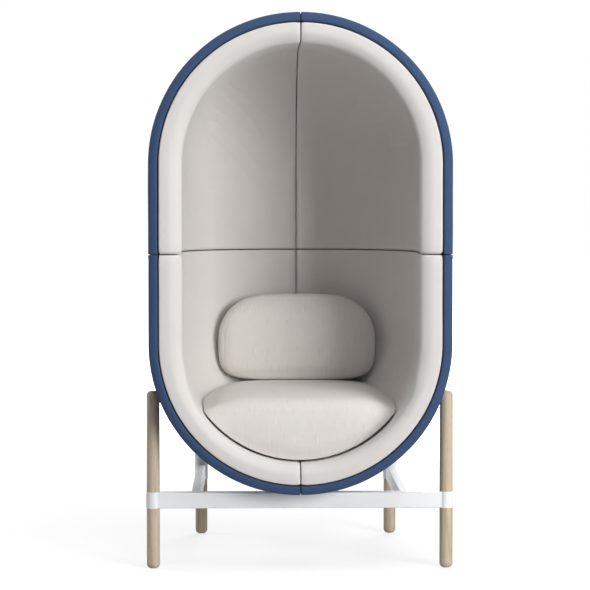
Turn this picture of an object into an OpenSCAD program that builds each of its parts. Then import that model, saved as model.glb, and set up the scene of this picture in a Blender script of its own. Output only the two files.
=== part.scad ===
// Pod chair: a tall padded pod in four quarters, carried by a steel stand with round wooden legs.
// The origin is on the floor at the middle of the footprint, +Z is up and the open front faces -Y.
// Left and right are as seen from the front, so left is -X. Depths count back from the rim of the pod.

/* [Pod] */
// Width of the pod over its covers
pod_w = 820; // [740:10:900]
// Height of the straight walls between the two round ends
straight_h = 480; // [360:10:620]
// Depth of the pod from its rim to its back
pod_d = 700; // [640:10:780]
// Height of the lowest point of the rim above the floor
pod_lift = 212; // [200:2:240]
// Taper of the outer walls towards the back, in degrees
side_draft = 4; // [2:0.5:6]
// Squareness of the rounded back, where 2 is an ellipse
back_power = 2.25; // [2:0.05:2.6]
// Depth at which the outer walls start to round in
outer_round_start = 240; // [200:5:280]
// Open seam between neighbouring quarters
seam_gap = 2.5; // [1.5:0.5:4]

/* [Wall] */
// Thickness of the padded outer cover
cover_t = 6; // [4:0.5:8]
// Rounding of the cover at both edges of the rim
cover_edge_r = 5; // [2:0.5:7]
// Rounding of the covered rim between its edges, which falls back to the outside
cover_face_r = 36; // [30:1:80]
// Padding of the cover in front of the core
rim_pad_t = 11; // [8:0.5:14]
// Depth of the cover's return behind the rim
return_d = 22; // [16:1:30]
// Thickness of the moulded core
core_t = 13; // [12:0.5:16]
// Shadow gap between the covered rim and the pads
rim_gap = 3; // [2:0.5:5]
// Width of the pads seen from the front
pad_w = 53; // [44:1:60]
// Thickness of the pads in the middle of the back
back_pad_t = 60; // [45:1:70]
// Depth at which the pads start to round in
inner_round_start = 262; // [220:2:300]
// Rounding of the pads at the shadow gap
pad_edge_r = 8; // [4:1:12]
// Rounding of the pads into the hollow
pad_nose_r = 28; // [16:1:32]

/* [Seat cushion] */
// Height of the seat at the middle of its front edge
seat_h = 466; // [446:2:486]
// Rise of the seat from its front edge to the back
seat_rise = 13; // [0:1:14]
// Depth of the seat's front face behind the rim
seat_front_t = 74; // [60:2:100]
// How far the front edge drops towards its two ends
seat_front_drop = 35; // [20:1:44]
// How far the seat drops towards its sides at the back
seat_back_drop = 2; // [1:1:10]
// Roll of the upper front edge
seat_roll_r = 45; // [30:1:55]
// Roll of the lower front edge
seat_low_roll_r = 16; // [8:1:20]

/* [Back cushion] */
// Width of the loose back cushion
pillow_w = 464; // [400:1:480]
// Height of the loose back cushion
pillow_h = 257; // [221:2:299]
// Thickness of its front half
pillow_front_t = 62; // [45:1:70]
// Thickness of its rear half
pillow_rear_t = 62; // [45:1:70]
// Room between its rear lower corners and the pads behind them
pillow_room = 7; // [7:0.5:30]
// How far its ends curve forward
pillow_bow = 26; // [16:1:40]

/* [Legs] */
// Diameter of the wooden legs
leg_d = 36; // [30:1:40]
// Height of the front legs
leg_h = 488; // [464:2:500]
// Rounding of the leg ends
leg_round_r = 12.5; // [6:0.5:14]
// Depth of the front legs behind the rim
front_leg_t = 100; // [80:2:140]
// Free gap between the front legs and the widest part of the pod beside them
leg_gap = 2; // [1.5:0.1:6]
// Distance of the rear legs behind the back of the pod
rear_leg_behind = 9; // [5:1:30]

/* [Steel stand] */
// Height of all bars and rails
bar_h = 44; // [30:1:46]
// Thickness of the two crossbars
bar_t = 30; // [25:1:36]
// Thickness of the side rails
rail_t = 25; // [20:1:30]
// Half the spacing of the side rails
rail_x = 285; // [240:5:310]
// Wall of the rectangular tubes
bar_wall = 2; // [1.5:0.5:3]
// Outer rounding of the rectangular tubes
bar_edge_r = 3; // [2.5:0.5:5]
// Wall of the sleeves and rear posts
tube_wall = 1.5; // [1.5:0.5:2.5]
// Gap between the top of the front crossbar and the rim above it
bar_drop = 2; // [2:0.5:12]
// Height of the middle of the rear crossbar
rear_bar_h = 450; // [420:2:460]

/* [Hidden] */

$fn = 96;
left = -1;
right = 1;
upper = 1;
lower = -1;

// Clearances and the one overrun that all cuts share
soft_gap = 0.3;
weld_gap = 0.2;
leg_fit = 0.2;
bolt_fit = 0.2;
hole_fit = 0.5;
dowel_fit = 0.2;
form_gap = 0.9;
cut = 5;

// Colours of the finishes
blue_fabric = "#36527f";
linen_fabric = "#dcd8d1";
birch_ply = "#cdb083";
pale_wood = "#d9c3a0";
white_steel = "#eceeee";
zinc_steel = "#9a9da1";
black_rubber = "#2a2a2c";
white_plastic = "#e4e6e6";

// Steps of the drawn curves
curve_steps = 18;
arc_steps = 5;

// Heights and the place of the rim plane
tube_d = leg_d + 2 * leg_fit + 2 * tube_wall;
rear_leg_t = pod_d + rear_leg_behind;
rim_y = -(rear_leg_t + tube_d / 2) / 2;
seam_h = pod_lift + pod_w / 2 + straight_h / 2;
shell_r = pod_w / 2 - seam_gap / 2;
end_h = seam_h - seam_gap / 2 - straight_h / 2;
bar_mid_h = pod_lift - bar_drop - bar_h / 2;

// Depths of the layers below the outside of the pod
core_out = cover_t + soft_gap;
core_mid = core_out + core_t / 2;
core_in = core_out + core_t;
pad_out = core_in + soft_gap;
lip_w = pad_out + cover_t;
hollow_r = wall_r(lip_w, 0) - rim_gap - pad_w;
hollow_d = pod_d - pad_out - back_pad_t;

// Radius of a layer in the straight part of the wall, at a depth behind the rim
function wall_r(layer, depth) = shell_r - layer / cos(side_draft) - depth * tan(side_draft);

// Radius share of the rounded back between its start and its deepest point
function back_share(depth, start, deepest) =
    pow(1 - pow(max(0, depth - start) / (deepest - start), back_power), 1 / back_power);

// Depths spread evenly along the rounded back
function back_depth(i, start, deepest) =
    start + (deepest - start) * pow(sin(90 * i / curve_steps), 2 / back_power);

function inner_r(depth) = hollow_r * back_share(depth, inner_round_start, hollow_d);

// Depth at which the hollow has narrowed to a share of its full radius
function inner_t(share) =
    inner_round_start + (hollow_d - inner_round_start) * pow(1 - pow(share, back_power), 1 / back_power);

// Section of the outside, from the rim to the pole of the back, as radius and depth
outer_curve = concat([[shell_r, 0]], [
    for (i = [0 : curve_steps])
        let (depth = back_depth(i, outer_round_start, pod_d))
        [wall_r(0, depth) * back_share(depth, outer_round_start, pod_d), depth]
]);

inner_curve = [
    for (i = [0 : curve_steps])
        let (depth = back_depth(i, inner_round_start, hollow_d)) [inner_r(depth), depth]
];

// Direction of a curve at one of its points, mirrored past the pole
function heading(curve, i) =
    let (before = curve[max(0, i - 1)],
         after = i == len(curve) - 1 ? [-curve[i - 1].x, curve[i - 1].y] : curve[i + 1])
    (after - before) / norm(after - before);

// The rounded back moved inwards by a layer's depth, without the point at the rim
function layer_back(layer) = [
    for (i = [1 : len(outer_curve) - 1])
        let (ahead = heading(outer_curve, i), point = outer_curve[i])
        [i == len(outer_curve) - 1 ? 0 : point.x - layer * ahead.y, point.y + layer * ahead.x]
];

// A layer's line from a depth near the rim to the pole
function layer_line(layer, depth) = concat([[wall_r(layer, depth), depth]], layer_back(layer));

function reversed(list) = [for (i = [len(list) - 1 : -1 : 0]) list[i]];

function arc(centre, radius, from, to) = [
    for (i = [0 : arc_steps])
        let (angle = from + (to - from) * i / arc_steps)
        centre + radius * [cos(angle), sin(angle)]
];

// Depth of a layer at the back of a lower quarter, at a point given by x and height
function back_t(layer, x, h) =
    lookup(norm([abs(x) - seam_gap / 2, end_h - h]), [for (p = layer_back(layer)) [p.x, p.y]]);

// Height of a layer under the pod and half width of a layer beside it
function under_h(layer, x, depth) =
    end_h - sqrt(pow(wall_r(layer, depth), 2) - pow(abs(x) - seam_gap / 2, 2));
function side_x(layer, h, depth) = seam_gap / 2 + sqrt(pow(wall_r(layer, depth), 2) - pow(end_h - h, 2));

// Places of the legs and of the bolts that hold the pod
front_leg_x = side_x(0, leg_h, front_leg_t - leg_d / 2) + leg_gap + leg_d / 2;
front_y = rim_y + front_leg_t;
rear_y = rim_y + rear_leg_t;
saddle_half_w = 70;
saddle_bolt_x = 45;
side_bolt_drop = 24;
side_bolt_h = leg_h - side_bolt_drop;
rear_bolt_x = 90;

/* Pod */

// Turns and mirrors a quarter drawn for the upper right into its place
module quarter(side, level) {
    translate([side * seam_gap / 2, rim_y, seam_h + level * seam_gap / 2])
        flipped([1, 0, 0], side == left)
            flipped([0, 0, 1], level == lower)
                children();
}

module flipped(axis, active) {
    if (active) mirror(axis) children();
    else children();
}

// Lays a section of radius and depth round the axis that runs from front to back
module turned(angle) {
    mirror([0, 1, 0]) rotate([90, 0, 0]) rotate_extrude(angle = angle) children();
}

// A straight wall that carries on into a quarter of a round end
module pod_layer() {
    linear_extrude(height = straight_h / 2) children();
    translate([0, 0, straight_h / 2]) turned(90) children();
}

function lip_r(depth) = wall_r(lip_w, depth);

// The rim's rounded face runs from its inner edge and turns back until it meets the outer edge
face_start_r = lip_r(0) + cover_edge_r;
face_run = wall_r(0, 2 * cover_edge_r) - cover_edge_r - face_start_r;
face_turn = asin(face_run / (cover_face_r - cover_edge_r));
face_fall = (cover_face_r - cover_edge_r) * (1 - cos(face_turn));

cover_section = concat(
    [[lip_r(return_d), return_d]],
    arc([face_start_r, cover_edge_r], cover_edge_r, 180, 270),
    arc([face_start_r, cover_face_r], cover_face_r, 270, 270 + face_turn),
    arc([face_start_r + face_run, cover_edge_r + face_fall], cover_edge_r, 270 + face_turn, 360),
    layer_back(0),
    reversed(layer_line(cover_t, rim_pad_t)),
    [[wall_r(pad_out, rim_pad_t), rim_pad_t], [wall_r(pad_out, return_d), return_d]]
);

core_rim_t = rim_pad_t + soft_gap;
core_section = concat(layer_line(core_out, core_rim_t), reversed(layer_line(core_in, core_rim_t)));

pad_step_t = return_d + rim_gap;
pad_section = concat(
    arc([hollow_r + pad_nose_r, pad_nose_r], pad_nose_r, 270, 180),
    inner_curve,
    reversed(layer_line(pad_out, pad_step_t)),
    [[lip_r(pad_step_t) - rim_gap, pad_step_t]],
    arc([lip_r(pad_edge_r) - rim_gap - pad_edge_r, pad_edge_r], pad_edge_r, 0, -90)
);

module outer_cover(side, level) {
    color(blue_fabric) difference() {
        quarter(side, level) pod_layer() polygon(cover_section);
        if (level == lower) frame_bolt_holes(side, bolt_d + 2 * hole_fit);
    }
}

module shell_core(side, level) {
    color(birch_ply) difference() {
        quarter(side, level) pod_layer() polygon(core_section);
        quarter(side, level) quarter_dowels(dowel_d + 2 * dowel_fit, dowel_l + 2 * dowel_end_gap);
        if (level == lower) frame_bolt_holes(side, insert_d + 2 * bolt_fit);
    }
}

module inner_pad(side, level) {
    color(linen_fabric) quarter(side, level) pod_layer() polygon(pad_section);
}

/* Dowels and bolts */

dowel_d = 8;
dowel_l = 50;
dowel_end_gap = 1;
// Where dowels stand along the core, as shares of the straight wall and as steps of the rounded back
wall_dowel_shares = [0.35, 0.9];
back_dowel_steps = [10, 15];
// Heights of the dowels in the middle of the back, as shares of the straight wall's height
mid_back_dowel_shares = [0.25, 0.75];

mid_line = layer_line(core_mid, 0);
dowel_points = concat(
    [for (share = wall_dowel_shares) mid_line[0] + share * (mid_line[1] - mid_line[0])],
    [for (step = back_dowel_steps) mid_line[step]]
);

// Dowels of one quarter, centred on its two seams
module quarter_dowels(d, l) {
    level_seam_dowels(d, l);
    upright_seam_dowels(d, l);
}

module level_seam_dowels(d, l) {
    for (p = dowel_points)
        translate([p.x, p.y, -seam_gap / 2]) cylinder(d = d, h = l, center = true);
}

module upright_seam_dowels(d, l) {
    for (p = dowel_points)
        translate([-seam_gap / 2, p.y, straight_h / 2 + p.x])
            rotate([0, 90, 0]) cylinder(d = d, h = l, center = true);
    for (share = mid_back_dowel_shares)
        translate([-seam_gap / 2, pod_d - core_mid, share * straight_h / 2])
            rotate([0, 90, 0]) cylinder(d = d, h = l, center = true);
}

module seam_dowels() {
    color(pale_wood) {
        for (side = [left, right]) quarter(side, upper) level_seam_dowels(dowel_d, dowel_l);
        for (level = [lower, upper]) quarter(right, level) upright_seam_dowels(dowel_d, dowel_l);
    }
}

bolt_d = 6;
bolt_head_d = 10;
bolt_head_h = 6;
bolt_socket_d = 5.8;
bolt_socket_depth = 3;
insert_d = 10;
insert_l = 8;
// Depth at which a head sits in the outer side of a front leg
side_head_depth = 8;
// Bolt lengths from under the head to the tip in the insert
saddle_bolt_l = under_h(core_mid, saddle_bolt_x, front_leg_t) + insert_l / 2
    - (bar_mid_h + bar_h / 2 - bar_wall);
side_bolt_l = front_leg_x + leg_d / 2 - side_head_depth
    - side_x(core_mid, side_bolt_h, front_leg_t) + insert_l / 2;
rear_bolt_l = rear_leg_t - bar_t / 2 + bar_wall - back_t(core_mid, rear_bolt_x, rear_bar_h) + insert_l / 2;

// Places an item drawn along +Z from the middle of its insert: under the pod, beside it or behind it
module at_saddle(side) {
    translate([side * saddle_bolt_x, front_y, under_h(core_mid, saddle_bolt_x, front_leg_t)])
        children();
}
module at_side(side) {
    translate([side * side_x(core_mid, side_bolt_h, front_leg_t), front_y, side_bolt_h])
        rotate([0, -side * 90, 0]) children();
}
module at_rear(side) {
    translate([side * rear_bolt_x, rim_y + back_t(core_mid, rear_bolt_x, rear_bar_h), rear_bar_h])
        rotate([90, 0, 0]) children();
}

// Bores through the wall of a lower quarter, deep enough for the insert
module frame_bolt_holes(side, d) {
    bore_out = cover_t + core_t + cut;
    for (i = [0 : 2])
        bolt_place(i, side)
            translate([0, 0, -bore_out]) cylinder(d = d, h = bore_out + insert_l / 2 + bolt_fit);
}

module bolt_place(i, side) {
    if (i == 0) at_saddle(side) children();
    if (i == 1) at_side(side) children();
    if (i == 2) at_rear(side) children();
}

module threaded_inserts() {
    color(zinc_steel)
        for (side = [left, right], i = [0 : 2])
            bolt_place(i, side) difference() {
                cylinder(d = insert_d, h = insert_l, center = true);
                cylinder(d = bolt_d + 2 * bolt_fit, h = insert_l + 2 * cut, center = true);
            }
}

// Socket head bolt along +Z whose tip is level with the far end of the insert
module frame_bolt(l) {
    color(zinc_steel) translate([0, 0, insert_l / 2 - l]) {
        cylinder(d = bolt_d, h = l);
        translate([0, 0, -bolt_head_h]) difference() {
            cylinder(d = bolt_head_d, h = bolt_head_h);
            translate([0, 0, -cut]) cylinder(d = bolt_socket_d, h = bolt_socket_depth + cut, $fn = 6);
        }
    }
}

module saddle_bolts() { for (side = [left, right]) at_saddle(side) frame_bolt(saddle_bolt_l); }
module side_bolts() { for (side = [left, right]) at_side(side) frame_bolt(side_bolt_l); }
module rear_bolts() { for (side = [left, right]) at_rear(side) frame_bolt(rear_bolt_l); }

// The outside of the lower round end as one solid, grown by a gap, to fit what seats against it
module pod_end_form() {
    side = [for (p = layer_line(-form_gap, 0)) [p.x + seam_gap / 2, p.y]];
    grown = concat([[0, 0]], side, [[0, pod_d + form_gap]]);
    translate([0, rim_y, pod_lift + pod_w / 2]) turned(360, $fn = 360) polygon(grown);
}

/* Legs */

rear_leg_l = bar_mid_h + bar_h;
leg_side_hole_d = bolt_d + 2 * hole_fit;
leg_head_hole_d = bolt_head_d + 2 * hole_fit;
grub_d = 6;
grub_l = 10;
grub_socket_d = 3.4;
grub_socket_depth = 3;

// Round leg with a rolled foot, and a rolled top where it shows
module turned_leg(l, top_round_r) {
    rotate_extrude() polygon(concat(
        [[0, 0]],
        arc([leg_d / 2 - leg_round_r, leg_round_r], leg_round_r, -90, 0),
        arc([leg_d / 2 - top_round_r, l - top_round_r], top_round_r, 0, 90),
        [[0, l]]
    ));
}

module front_leg(side) {
    color(pale_wood) difference() {
        translate([side * front_leg_x, front_y, 0]) turned_leg(leg_h, leg_round_r);
        at_side(side) {
            leg_hole_l = side_bolt_l + bolt_head_h + cut;
            translate([0, 0, -leg_hole_l]) cylinder(d = leg_side_hole_d, h = leg_hole_l);
            translate([0, 0, insert_l / 2 - side_bolt_l - side_head_depth - cut])
                cylinder(d = leg_head_hole_d, h = side_head_depth + cut);
        }
        grub_at(side, true) grub_hole();
    }
}

rear_leg_top_r = 2;
module rear_leg(side) {
    color(pale_wood) difference() {
        translate([side * rail_x, rear_y, 0]) turned_leg(rear_leg_l, rear_leg_top_r);
        grub_at(side, false) grub_hole();
    }
}

// Places a grub screw, drawn along +Z from its outer face, in the back of a sleeve or post
module grub_at(side, front) {
    x = side * (front ? front_leg_x : rail_x);
    y = (front ? front_y : rear_y) + tube_d / 2 - grub_sink;
    translate([x, y, bar_mid_h]) rotate([90, 0, 0]) children();
}
grub_sink = 0.4;

module grub_hole() {
    translate([0, 0, -cut]) cylinder(d = grub_d + 2 * bolt_fit, h = grub_l + bolt_fit + cut);
}

module leg_grub_screws() {
    color(zinc_steel) for (side = [left, right], front = [true, false])
        grub_at(side, front) difference() {
            cylinder(d = grub_d, h = grub_l);
            translate([0, 0, -cut]) cylinder(d = grub_socket_d, h = grub_socket_depth + cut, $fn = 6);
        }
}

/* Steel stand */

sleeve_over = 0.5;
sleeve_h = bar_h + 2 * sleeve_over;
post_over = 14;
post_top_h = rear_bar_h + bar_h / 2 + post_over;
sleeve_low_h = bar_mid_h - sleeve_h / 2;

module tube(x, y, low, high) {
    translate([x, y, low]) difference() {
        cylinder(d = tube_d, h = high - low);
        translate([0, 0, -cut]) cylinder(d = tube_d - 2 * tube_wall, h = high - low + 2 * cut);
    }
}

module front_sleeve(side) {
    color(white_steel) difference() {
        tube(side * front_leg_x, front_y, sleeve_low_h, sleeve_low_h + sleeve_h);
        grub_at(side, true) grub_hole();
    }
}

module rear_post(side) {
    color(white_steel) difference() {
        tube(side * rail_x, rear_y, sleeve_low_h, post_top_h);
        grub_at(side, false) grub_hole();
    }
}

cap_h = 4;
cap_plug_l = 14;
cap_fit = 0.2;
module rear_post_cap(side) {
    color(white_plastic) translate([side * rail_x, rear_y, post_top_h]) {
        rotate_extrude() polygon(concat(
            [[0, 0], [tube_d / 2, 0]],
            arc([tube_d / 2 - cap_h, 0], cap_h, 0, 90),
            [[0, cap_h]]
        ));
        translate([0, 0, -cap_plug_l]) cylinder(d = tube_d - 2 * tube_wall - 2 * cap_fit, h = cap_plug_l);
    }
}

// Outline of a rectangular tube with rounded edges
function rounded_box(w, h, r) = concat(
    arc([w / 2 - r, h / 2 - r], r, 0, 90),
    arc([r - w / 2, h / 2 - r], r, 90, 180),
    arc([r - w / 2, r - h / 2], r, 180, 270),
    arc([w / 2 - r, r - h / 2], r, 270, 360)
);

// Rectangular tube along +Z, centred, w along X and h along Y
module box_tube(w, h, l) {
    difference() {
        linear_extrude(height = l, center = true) polygon(rounded_box(w, h, bar_edge_r));
        linear_extrude(height = l + 2 * cut, center = true)
            polygon(rounded_box(w - 2 * bar_wall, h - 2 * bar_wall, bar_edge_r - bar_wall));
    }
}

// Crossbar whose ends are hollowed to fit round tubes at plus and minus x
module crossbar(x, y, h) {
    difference() {
        translate([0, y, h]) rotate([0, 90, 0]) box_tube(bar_h, bar_t, 2 * x);
        for (side = [left, right])
            translate([side * x, y, h])
                cylinder(d = tube_d + 2 * weld_gap, h = bar_h + 2 * cut, center = true);
    }
}

access_d = 12;

module front_crossbar() {
    color(white_steel) difference() {
        crossbar(front_leg_x, front_y, bar_mid_h);
        for (side = [left, right]) at_saddle(side) {
            translate([0, 0, -bar_h]) cylinder(d = bolt_d + 2 * hole_fit, h = bar_h);
            translate([0, 0, insert_l / 2 - saddle_bolt_l - bar_h - cut])
                cylinder(d = access_d, h = bar_h / 2);
        }
    }
}

module rear_crossbar() {
    color(white_steel) difference() {
        crossbar(rail_x, rear_y, rear_bar_h);
        for (side = [left, right]) at_rear(side) {
            translate([0, 0, -rear_bolt_l]) cylinder(d = bolt_d + 2 * hole_fit, h = rear_bolt_l);
            translate([0, 0, insert_l / 2 - rear_bolt_l - bar_t - cut])
                cylinder(d = access_d, h = bar_t - bar_wall);
        }
    }
}

module side_rail(side) {
    from_y = front_y + bar_t / 2 + weld_gap;
    color(white_steel) difference() {
        translate([side * rail_x, (from_y + rear_y) / 2, bar_mid_h])
            rotate([90, 0, 0]) box_tube(rail_t, bar_h, rear_y - from_y);
        translate([side * rail_x, rear_y, bar_mid_h])
            cylinder(d = tube_d + 2 * weld_gap, h = bar_h + 2 * cut, center = true);
    }
}

spacer_d = 18;

module front_saddle() {
    saddle_top = under_h(0, saddle_half_w, front_leg_t) + cut;
    saddle_low = bar_mid_h + bar_h / 2;
    color(black_rubber) difference() {
        translate([-saddle_half_w, front_y - bar_t / 2, saddle_low])
            cube([2 * saddle_half_w, bar_t, saddle_top - saddle_low]);
        pod_end_form();
        for (side = [left, right]) at_saddle(side)
            cylinder(d = bolt_d + 2 * hole_fit, h = 2 * bar_h, center = true);
    }
}

module side_spacer(side) {
    spacer_l = front_leg_x - side_x(core_mid, side_bolt_h, front_leg_t);
    color(black_rubber) difference() {
        at_side(side) translate([0, 0, -spacer_l]) cylinder(d = spacer_d, h = spacer_l);
        pod_end_form();
        translate([side * front_leg_x, front_y, 0]) cylinder(d = leg_d + 2 * soft_gap, h = leg_h);
        at_side(side) cylinder(d = bolt_d + 2 * hole_fit, h = 2 * bar_h, center = true);
    }
}

module rear_spacer(side) {
    spacer_l = rear_leg_t - bar_t / 2 - weld_gap - back_t(core_mid, rear_bolt_x, rear_bar_h);
    color(white_steel) difference() {
        at_rear(side) translate([0, 0, -spacer_l]) cylinder(d = spacer_d, h = spacer_l);
        pod_end_form();
        at_rear(side) cylinder(d = bolt_d + 2 * hole_fit, h = 2 * rear_bolt_l, center = true);
    }
}

/* Cushions */

cushion_gap = 1.2;
pillow_seat_gap = 0.4;

// Closed solid through rings of equal length, with a point before the first and after the last
module ring_solid(rings, first_tip, last_tip) {
    n = len(rings[0]);
    last = len(rings) - 1;
    points = concat([for (ring = rings) each ring], [first_tip, last_tip]);
    sides = [for (i = [0 : last - 1], j = [0 : n - 1])
        let (a = i * n + j, b = i * n + (j + 1) % n) each [[a, b, b + n], [a, b + n, a + n]]];
    first_cap = [for (j = [0 : n - 1]) [(j + 1) % n, j, len(points) - 2]];
    last_cap = [for (j = [0 : n - 1]) [last * n + j, last * n + (j + 1) % n, len(points) - 1]];
    polyhedron(points = points, faces = concat(first_cap, sides, last_cap));
}

seat_top_steps = 16;
seat_low_steps = 18;
seat_crown_power = 5;
seat_drop_power = 3.5;
// Share of the seat's length at which its sides have risen to their height at the back
seat_drop_share = 0.87;
seat_tip_r = 4;
seat_face_crown = 6;
// Size of the inner ring of the seat's front face, as a share of the face
seat_face_share = 0.55;
// Narrowest part of the seat at its rear end, as a share of the hollow's radius
seat_end_share = 0.5;
roll_steps = 5;
seat_back_steps = 8;

seat_end_t = inner_t(seat_end_share);
// The front rolls stay within this share of the front face's height at its ends
seat_roll_share = 0.34;
seat_roll = min(seat_roll_r, seat_roll_share * (seat_h - seat_front_drop - end_h + hollow_r));
function seat_run(t) = max(0, (t - seat_front_t) / (seat_end_t - seat_front_t));
function seat_top_h(t) = seat_h + seat_rise * sin(90 * seat_run(t));
function seat_drop(t) = seat_front_drop
    + (seat_back_drop - seat_front_drop) * pow(min(1, seat_run(t) / seat_drop_share), seat_drop_power);

// One ring across the seat: over the crowned top from left to right, then back along the hollow
function seat_ring(t, top_in, low_in) =
    let (drop = seat_drop(t),
         edge_h = seat_top_h(t) - drop - top_in,
         r = inner_r(t) - cushion_gap - low_in,
         half_w = sqrt(pow(r, 2) - pow(end_h - edge_h, 2)) - seat_tip_r)
    concat(
        [for (i = [0 : seat_top_steps])
            let (share = -cos(180 * i / seat_top_steps))
            [half_w * share, rim_y + t, edge_h + drop * (1 - pow(abs(share), seat_crown_power))]],
        [for (i = [1 : seat_low_steps - 1])
            let (x = (half_w + seat_tip_r) * cos(180 * i / seat_low_steps))
            [x, rim_y + t, end_h - sqrt(pow(r, 2) - pow(x, 2))]]
    );

function middle(ring) = [0, ring[0].y, (ring[0].z + ring[len(ring) - seat_low_steps / 2].z) / 2];
function shrunk(ring, share, t) = [for (p = ring) middle(ring) + share * (p - middle(ring)) + [0, t, 0]];

module seat_cushion() {
    face = seat_ring(seat_front_t, seat_roll, seat_low_roll_r);
    rolls = [for (i = [1 : roll_steps])
        let (a = 90 * i / roll_steps, left_over = 1 - sin(a))
        seat_ring(seat_front_t + seat_roll * (1 - cos(a)), seat_roll * left_over,
            seat_low_roll_r * left_over)];
    run_start = seat_front_t + seat_roll;
    runs = [for (i = [1 : 2]) seat_ring(run_start + (inner_round_start - run_start) * i / 2, 0, 0)];
    end_angle = asin(pow((seat_end_t - inner_round_start) / (hollow_d - inner_round_start), back_power / 2));
    backs = [for (i = [1 : seat_back_steps])
        let (a = end_angle * i / seat_back_steps)
        seat_ring(inner_round_start + (hollow_d - inner_round_start) * pow(sin(a), 2 / back_power), 0, 0)];
    last = backs[len(backs) - 1];
    color(linen_fabric) ring_solid(
        concat([shrunk(face, seat_face_share, -seat_face_crown * seat_face_share), face], rolls, runs, backs),
        middle(face) - [0, seat_face_crown, 0],
        middle(last)
    );
}

pillow_steps = 44;
pillow_rings = 11;
// Powers of the pillow's outline across and upwards, above its widest line and below it
pillow_wide_power = 4;
pillow_top_power = 1.8;
pillow_low_power = 4.8;
pillow_least_power = 2.4;
// Tilt in degrees over which the lower corners of the rear half grow rounder by one power
pillow_rounding = 16;
pillow_edge_power = 0.85;
// Tilts at which the rear lower corners are kept clear of the pads
pillow_check_tilts = [0 : 10 : 80];
pillow_t = min([for (tilt = pillow_check_tilts) pillow_limit_t(tilt)]) - pillow_room;
pillow_mid_h = seat_top_h(pillow_t) + pillow_seat_gap + pillow_h / 2;

function signed_pow(value, power) = sign(value) * pow(abs(value), power);

// Size of a ring of the pillow as a share, and the squareness of its lower corners
function pillow_share(tilt) = pow(cos(tilt), pillow_edge_power);
function pillow_low(tilt) = max(pillow_least_power, pillow_low_power - max(0, tilt) / pillow_rounding);

// Depth of the middle plane at which a rear ring's lower corners would touch the pads
function pillow_limit_t(tilt) =
    let (corner_share = pow(sin(45), 2 / pillow_low(tilt)) * pillow_share(tilt),
         x = corner_share * pillow_w / 2 - seam_gap / 2,
         h = seat_h + seat_rise + (1 - corner_share) * pillow_h / 2)
    inner_t(norm([x, end_h - h]) / hollow_r) + pillow_bow * pow(corner_share, 2)
        - pillow_rear_t * pow(sin(tilt), pillow_edge_power);

// One ring of the back cushion, between its front pole at -90 degrees and its rear pole at 90
function pillow_ring(tilt) =
    let (size = pillow_share(tilt),
         half_t = tilt < 0 ? pillow_front_t : pillow_rear_t)
    [for (i = [0 : pillow_steps - 1])
        let (angle = 360 * i / pillow_steps,
             low = sin(angle) < 0,
             x_share = signed_pow(cos(angle), 2 / (low ? pillow_low(tilt) : pillow_wide_power)) * size,
             z_share = signed_pow(sin(angle), 2 / (low ? pillow_low(tilt) : pillow_top_power)) * size)
        [x_share * pillow_w / 2,
         rim_y + pillow_t - pillow_bow * pow(x_share, 2) + half_t * signed_pow(sin(tilt), pillow_edge_power),
         pillow_mid_h + z_share * pillow_h / 2]];

module back_cushion() {
    pole = [0, rim_y + pillow_t, pillow_mid_h];
    color(linen_fabric) ring_solid(
        [for (i = [1 : pillow_rings]) pillow_ring(-90 + 180 * i / (pillow_rings + 1))],
        pole - [0, pillow_front_t, 0],
        pole + [0, pillow_rear_t, 0]
    );
}

/* Sub-parts by name */

module outer_cover_upper_left() { outer_cover(left, upper); }
module outer_cover_upper_right() { outer_cover(right, upper); }
module outer_cover_lower_left() { outer_cover(left, lower); }
module outer_cover_lower_right() { outer_cover(right, lower); }
module shell_core_upper_left() { shell_core(left, upper); }
module shell_core_upper_right() { shell_core(right, upper); }
module shell_core_lower_left() { shell_core(left, lower); }
module shell_core_lower_right() { shell_core(right, lower); }
module inner_pad_upper_left() { inner_pad(left, upper); }
module inner_pad_upper_right() { inner_pad(right, upper); }
module inner_pad_lower_left() { inner_pad(left, lower); }
module inner_pad_lower_right() { inner_pad(right, lower); }

outer_cover_upper_left();
outer_cover_upper_right();
outer_cover_lower_left();
outer_cover_lower_right();
shell_core_upper_left();
shell_core_upper_right();
shell_core_lower_left();
shell_core_lower_right();
inner_pad_upper_left();
inner_pad_upper_right();
inner_pad_lower_left();
inner_pad_lower_right();
seam_dowels();
threaded_inserts();
front_leg(left);  // front_leg_left
front_leg(right);  // front_leg_right
rear_leg(left);  // rear_leg_left
rear_leg(right);  // rear_leg_right
front_sleeve(left);  // front_sleeve_left
front_sleeve(right);  // front_sleeve_right
front_crossbar();
side_rail(left);  // side_rail_left
side_rail(right);  // side_rail_right
rear_post(left);  // rear_post_left
rear_post(right);  // rear_post_right
rear_post_cap(left);  // rear_post_cap_left
rear_post_cap(right);  // rear_post_cap_right
rear_crossbar();
front_saddle();
saddle_bolts();
side_spacer(left);  // side_spacer_left
side_spacer(right);  // side_spacer_right
side_bolts();
rear_spacer(left);  // rear_spacer_left
rear_spacer(right);  // rear_spacer_right
rear_bolts();
leg_grub_screws();
seat_cushion();
back_cushion();
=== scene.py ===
"""Looks of the pod chair, in metres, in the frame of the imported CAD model.

Four padded quarters are covered in blue wool outside and in pale cloth inside. Two loose cushions lie
in the hollow, and a white steel stand with four ash legs carries the pod. Left and right are as seen
from the front, so left is -X. Depths count back from the rim of the pod.
"""

from __future__ import annotations

import itertools
import logging
import math
from dataclasses import dataclass
from enum import Enum
from typing import Callable, Iterable, Sequence

import bmesh
import bpy
import numpy as np
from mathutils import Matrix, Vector, noise
from mathutils.bvhtree import BVHTree
from mathutils.geometry import tessellate_polygon


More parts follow.
